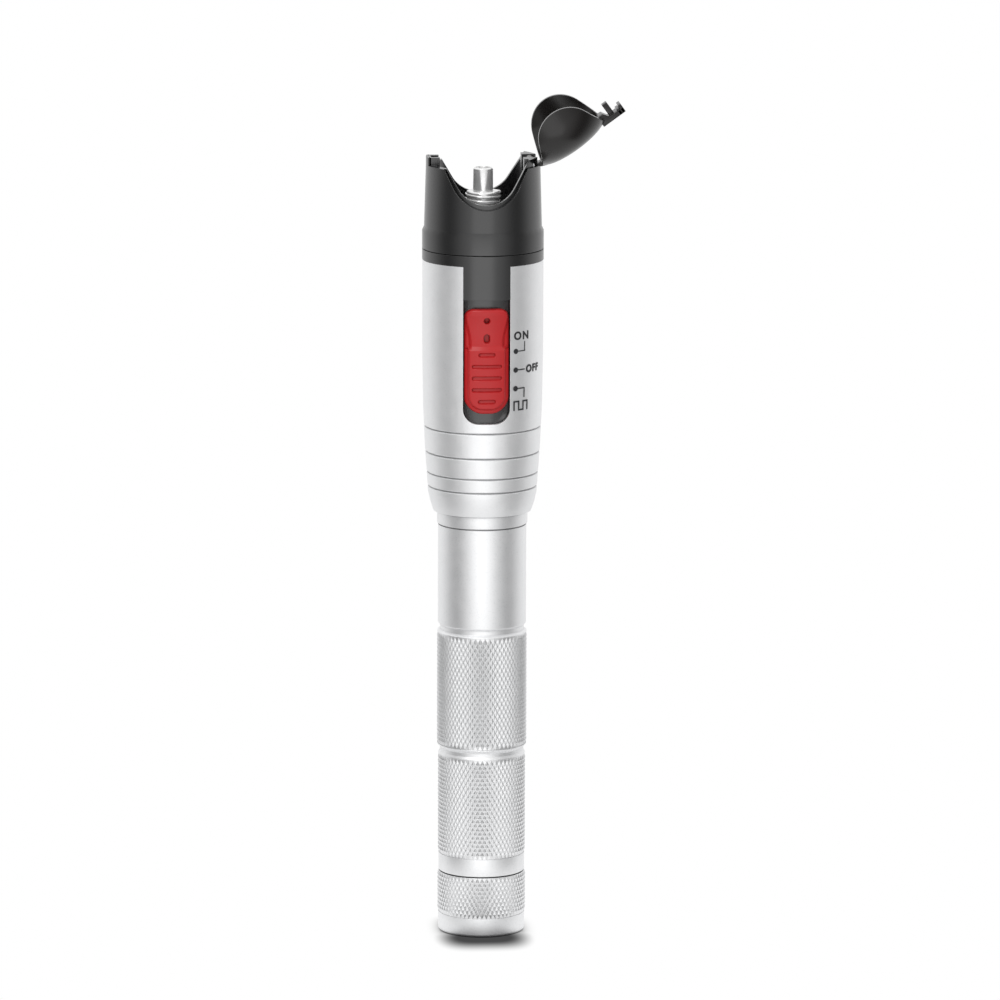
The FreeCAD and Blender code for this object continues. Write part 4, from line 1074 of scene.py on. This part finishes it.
def dome_section(wall_in, steps):
    """A dome's section: a round shoulder that runs into a flatter crown."""
    inset = CAP_DOME_RADIUS - CAP_CORNER
    slant = CAP_CROWN - CAP_CORNER
    crown_centre = CAP_TOP - CAP_CROWN
    shoulder_up = crown_centre + sqrt(slant ** 2 - inset ** 2)
    meet = acos(inset / slant)
    shoulder = arc(inset, shoulder_up, CAP_CORNER - wall_in, 0, meet, steps)
    return shoulder + arc(0, crown_centre, CAP_CROWN - wall_in, meet, pi / 2, steps)[1:]


rim_low = U_CENTRE - CAP_U_RADIUS - CAP_WALL
rim = [(CAP_DOME_RADIUS - CAP_WALL, rim_low), (CAP_DOME_RADIUS, rim_low)]
dome = turned(rim + dome_section(0.0, 14) + dome_section(CAP_WALL, 12)[::-1], 0.0, 128)
nest = prism(u_outline(CAP_U_RADIUS, CAP_U_FLARE, CAP_TOP + 2), -THROUGH, THROUGH)
dome_mesh = carved(dome, nest, "INTERSECT")
print("dome:", len(dome_mesh.polygons), "faces")

# %% Arm, knuckle, latch and the open cap
KNUCKLE_RADIUS = 1.3
KNUCKLE_HALF = 2.1
PIN_BORE = 0.65
ARM_ROOT = 7.2
ARM_RISE = 2.4
ARM_THICK = 0.75
LATCH_REACH = HEAD_RADIUS
LATCH_HALF = 2.5
LATCH_THICK = 1.1
LATCH_ROOT = 2.4
LATCH_TOP = CAP_TOP - 0.6
LATCH_LOW = LATCH_TOP - LATCH_THICK
PRONG_ACROSS = 10.05
PRONG_HALF = 0.6
PRONG_WIDTH = 1.25
PRONG_LEN = 2.7
NAIL_THICK = 0.7
NAIL_LEN = 0.85
NIB_IN = 0.75
NIB_LEN = 0.33
OPEN_ANGLE = 144.0
PIN = Vector((PIN_ACROSS, 0, PIN_HEIGHT))


def knuckle():
    """The hinge barrel on the arm's end, along Y, with its bore for the pin."""
    ends = (-KNUCKLE_HALF, KNUCKLE_HALF)
    work = turned([(PIN_BORE, ends[0]), (KNUCKLE_RADIUS, *ends), (PIN_BORE, ends[1])], 0.12, 40)
    work.transform(Matrix.Translation(PIN) @ Matrix.Rotation(pi / 2, 4, "X"))
    return work


arm = prism([
    (PIN_ACROSS, PIN_HEIGHT + KNUCKLE_RADIUS - 0.05),
    (ARM_ROOT, PIN_HEIGHT + ARM_RISE),
    (ARM_ROOT - ARM_THICK / 2, PIN_HEIGHT + ARM_RISE - ARM_THICK),
    (PIN_ACROSS - ARM_THICK, PIN_HEIGHT + PIN_BORE),
], -KNUCKLE_HALF, KNUCKLE_HALF)
plate = prism([
    (-ARM_ROOT, LATCH_TOP),
    (-ARM_ROOT, LATCH_TOP - LATCH_ROOT),
    (-ARM_ROOT - 1.2, LATCH_TOP - LATCH_ROOT),
    (-ARM_ROOT - 2.0, LATCH_LOW),
    (-LATCH_REACH, LATCH_LOW),
    (-LATCH_REACH, LATCH_TOP),
], -LATCH_HALF, LATCH_HALF)
prong = block((-PRONG_ACROSS - PRONG_HALF, -PRONG_ACROSS + PRONG_HALF),
              (-PRONG_WIDTH, PRONG_WIDTH), (LATCH_LOW - PRONG_LEN, LATCH_TOP - 0.1))
nail, nib = (block((left, left + NAIL_THICK), (-LATCH_HALF, LATCH_HALF),
                   (LATCH_LOW - length, LATCH_TOP - 0.1))
             for left, length in ((-LATCH_REACH, NAIL_LEN), (NIB_IN - LATCH_REACH, NIB_LEN)))
fittings = [broken_edges(part, 0.1) for part in (arm, plate, prong, nail, nib)]
dome_work = bmesh.new()
dome_work.from_mesh(dome_mesh)
dome_work.transform(Matrix.Scale(1 / MM, 4))
cap_work = joined([dome_work, *fittings, knuckle()])
opened = Matrix.Translation(PIN) @ Matrix.Rotation(radians(OPEN_ANGLE), 4, "Y")
cap_work.transform(opened @ Matrix.Translation(-PIN))
piece("open_dust_cap", cap_work, cap_plastic, "dust_cap", ["dust_cap"])

# %% [markdown]
# ## Printed scale
#
# Three dots, a leader line from each, and a plain word or sign for on, off and pulsed light. The
# marks are drawn flat and wrapped round the tapering head, a hair above the metal.

# %% Wrap flat marks round the head
INK_RISE = 0.03
LONGEST_EDGE = 0.5
TAPER_LOW = HEAD_LOW + 3.9
TAPER_LEN = 31.0
LOW_RADIUS = 11.55


def head_radius_at(height):
    """The head's radius: an arc that runs into the straight upper part."""
    narrow = HEAD_RADIUS - LOW_RADIUS
    bend = (TAPER_LEN ** 2 + narrow ** 2) / (2 * narrow)
    below = max(TAPER_LOW + TAPER_LEN - height, 0.0)
    return HEAD_RADIUS - bend + sqrt(bend ** 2 - below ** 2)


def wrapped(work):
    """Bend a flat drawing, across the front and up, round the head's front face."""
    while long_edges := [edge for edge in work.edges if edge.calc_length() > LONGEST_EDGE]:
        bmesh.ops.subdivide_edges(work, edges=long_edges, cuts=1)
        bmesh.ops.triangulate(work, faces=work.faces)
    for vert in work.verts:
        radius = head_radius_at(vert.co.y) + INK_RISE
        turn = vert.co.x / HEAD_RADIUS
        vert.co = Vector((radius * sin(turn), -radius * cos(turn), vert.co.y))
    return work


def flat_disc(across, up, radius):
    """A flat disc round a point."""
    work = bmesh.new()
    bmesh.ops.create_circle(work, cap_ends=True, radius=radius, segments=20)
    work.transform(Matrix.Translation((across, up, 0)))
    return work


def flat_bar(start, end, width):
    """A straight stroke between two points, with square ends."""
    start, end = Vector(start), Vector(end)
    along = (end - start).normalized() * width / 2
    side = Vector((-along.y, along.x))
    work = bmesh.new()
    corners = (start - along - side, end + along - side, end + along + side, start - along + side)
    work.faces.new([work.verts.new((p.x, p.y, 0)) for p in corners])
    return work


def flat_word(text, across, up, size):
    """A word in Blender's own plain letters, from its lower left."""
    letters = bpy.data.curves.new("letters", "FONT")
    letters.body = text
    letters.size = size
    letters.space_character = 1.25
    letters.offset = 0.08
    work = bmesh.new()
    work.from_mesh(taken_from(placed("letters", letters)))
    work.transform(Matrix.Translation((across, up, 0)))
    return work


print("radius at the scale:", round(head_radius_at(KNOB_MIDDLE), 2))

# %% Draw the scale
DOT_ACROSS = 6.5
DOT_RADIUS = 0.55
DOT_STEP = 4.0
LINE_WIDTH = 0.2
LEADER = 2.35
LEADER_RISE = 1.9
LETTER_SIZE = 2.35
PULSE_WIDE = 1.2
PULSE_TALL = 1.8
PULSE_LINE = 0.3
scale_middle = KNOB_MIDDLE - 2.0
elbow = DOT_ACROSS + LEADER
marks = []
for step in (-1, 0, 1):
    up = scale_middle + step * DOT_STEP
    marks.append(flat_disc(DOT_ACROSS, up, DOT_RADIUS))
    marks.append(flat_bar((DOT_ACROSS, up), (elbow, up), LINE_WIDTH))
    if step:
        marks.append(flat_bar((elbow, up), (elbow, up + step * LEADER_RISE), LINE_WIDTH))
marks.append(flat_word("ON", DOT_ACROSS - 0.5, scale_middle + DOT_STEP + 2.5, LETTER_SIZE))
marks.append(flat_word("OFF", elbow + 0.5, scale_middle - 0.75, LETTER_SIZE * 0.93))
pulse = [(DOT_ACROSS - 0.3 + number // 2 * PULSE_WIDE,
          scale_middle - DOT_STEP - 4.6 + (number + 1) // 2 % 2 * PULSE_TALL)
         for number in range(8)]
for start, end in zip(pulse, pulse[1:]):
    marks.append(flat_bar(start, end, PULSE_LINE))
printed_ink = plain_part("printed_ink", (30, 30, 33), (44, 44, 47), 0.5, 6.0, 0.001)
piece("printed_scale", wrapped(joined(marks)), printed_ink, "main", smooth_to=0)

# %% [markdown]
# ## Floor and background
#
# The floor is a white disc that shows the camera its own white, with a painted shadow: dark
# near the foot and a soft ellipse ahead of it. To all other rays it is an ordinary pale surface
# that bounces light up.

# %% Floor
FLOOR_RADIUS = 0.07
CONTACT_REACH = 6.0
FOOT_HALF = 8.8
# Size, place and darkness of the painted shadow's ellipse ahead of the foot.
POOL_ACROSS = 11.3
POOL_DEPTH = 13.5
POOL_FORWARD = 8.7
POOL_DARK = 0.94


def floor_finish():
    """White to the camera, with a painted soft shadow; pale to other rays."""
    made = Finish("floor_white", Roughness=0.9)
    pale = made.between(made.noise(0.05), (228, 228, 228), (236, 236, 236))
    made.feed(made.shader.inputs["Base Color"], pale)
    # Painted shadow: dark where the object is near, and a soft dark ellipse ahead of the foot.
    beside = 1.0 - ((made.x.absolute() - FOOT_HALF) * 0.28).clamped()
    contact = made.crowding(CONTACT_REACH, 24) * beside * beside
    across, ahead = made.x / POOL_ACROSS, (made.y + POOL_FORWARD) / POOL_DEPTH
    fade = ((1.0 - (across * across * across * across + ahead * ahead) ** 0.5) * 1.3).clamped()
    shadow_pool = fade * fade * (3.0 - fade * 2.0) * POOL_DARK
    painted_shadow = contact.math("MAXIMUM", contact, shadow_pool).clamped()
    shade = made.between(painted_shadow, (255, 255, 255), (20, 20, 22))
    glow = made.first("ShaderNodeEmission", {"Color": shade, "Strength": 1.0})
    return made.show(made.sight(), made.shader.outputs[0], glow)


def staged(name, work, finish):
    """Add a mesh that isn't part of the object."""
    made = placed(name, as_mesh(work, name))
    give_finish(made, finish)
    return made


floor_work = bmesh.new()
bmesh.ops.create_circle(floor_work, cap_ends=True, radius=FLOOR_RADIUS / MM, segments=96)
staged("floor", floor_work, floor_finish())
print("floor ready")

# %% [markdown]
# ## Light
#
# Satin metal and black plastic only look round when their surroundings vary. So a veil stands
# round the object: thin in front, dense at both sides, thinner again at the rear sides. On a round
# bar that gives a bright middle, two grey bands and pale edges. The veil shows only in what
# mirrors it.

# %% Veil
VEIL_RADIUS = 0.5
VEIL_TALL = 0.8
VEIL_DENSITY = 0.75
VEIL_THIN = 0.055
VEIL_WAVE = 2.6
VIEW_TURN = -4.3


def veil_finish():
    """Cloth that holds back more or less light, by the direction from the axis."""
    made = Finish("veil_cloth", Roughness=1.0)
    azimuth = made.x.math("ARCTAN2", made.x, made.y * -1.0) - radians(VIEW_TURN)
    aside = azimuth.absolute() * VEIL_WAVE
    dense = 0.5 - aside.math("MINIMUM", aside, 2 * pi).cosine() * 0.5
    cover = dense * dense * VEIL_DENSITY + VEIL_THIN
    dark = made.first("ShaderNodeEmission", {"Color": tone(0, 0, 0), "Strength": 0.0})
    return made.show(cover, made.first("ShaderNodeBsdfTransparent"), dark)


veil_work = bmesh.new()
bmesh.ops.create_cone(veil_work, cap_ends=False, segments=96, radius1=VEIL_RADIUS / MM,
                      radius2=VEIL_RADIUS / MM, depth=VEIL_TALL / MM)
staged("veil", veil_work, veil_finish()).visible_camera = False
print("veil ready")

# %% World and lamps
LAMP_AIM = Vector((0, 0, 0.1))
WORLD_LEVEL = 0.9


def aimed(thing, direction):
    """Turn an object so that it looks along a direction, its top upwards."""
    thing.rotation_mode = "QUATERNION"
    thing.rotation_quaternion = direction.to_track_quat("-Z", "Y")


def soft_lamp(name, place, size, watts):
    """An area lamp that looks at the middle of the object."""
    data = bpy.data.lights.new(name, "AREA")
    data.shape = "RECTANGLE"
    data.size, data.size_y = size
    data.energy = watts
    lamp = placed(name, data)
    lamp.location = place
    aimed(lamp, LAMP_AIM - Vector(place))
    lamp.visible_camera = False


world = bpy.data.worlds.new("studio")
world.use_nodes = True
bpy.context.scene.world = world
air = Graph(world.node_tree)
air.tree.nodes.clear()
strength = WORLD_LEVEL + air.sight() * (1.0 - WORLD_LEVEL)
white = {"Color": tone(255, 255, 255), "Strength": strength}
air.feed(air.node("ShaderNodeOutputWorld").inputs[0], air.first("ShaderNodeBackground", white))
soft_lamp("front", (-0.035, -0.46, 0.01), (0.36, 0.26), 0.19)
soft_lamp("key", (-0.14, -0.30, 0.42), (0.16, 0.16), 0.45)
print("world and", len(bpy.data.lights), "lamps ready")

# %% [markdown]
# ## Camera
#
# A long lens from well away keeps the sides of the barrel almost parallel. From ten degrees above,
# every turned ring shows as a shallow curve. The front is turned slightly to the right.

# %% Camera
VIEW_RISE = 10.5
VIEW_ROLL = 0.18
DISTANCE = 1.65
FRAME_WIDTH = 0.2132
AIM = Vector((0.0038, 0.0, 0.09376))

lens = bpy.data.cameras.new("portrait")
lens.sensor_width = 36.0
lens.lens = lens.sensor_width * DISTANCE / FRAME_WIDTH
lens.clip_end = 10.0
camera = placed("portrait", lens)
turn, rise = radians(VIEW_TURN), radians(VIEW_RISE)
back = Vector((sin(turn) * cos(rise), -cos(turn) * cos(rise), sin(rise)))
camera.location = AIM + back * DISTANCE
aimed(camera, -back)
camera.rotation_quaternion @= Quaternion((0, 0, 1), radians(VIEW_ROLL))
bpy.context.scene.camera = camera
bpy.context.scene.view_settings.view_transform = "Standard"
print("lens", round(lens.lens, 1), "mm")
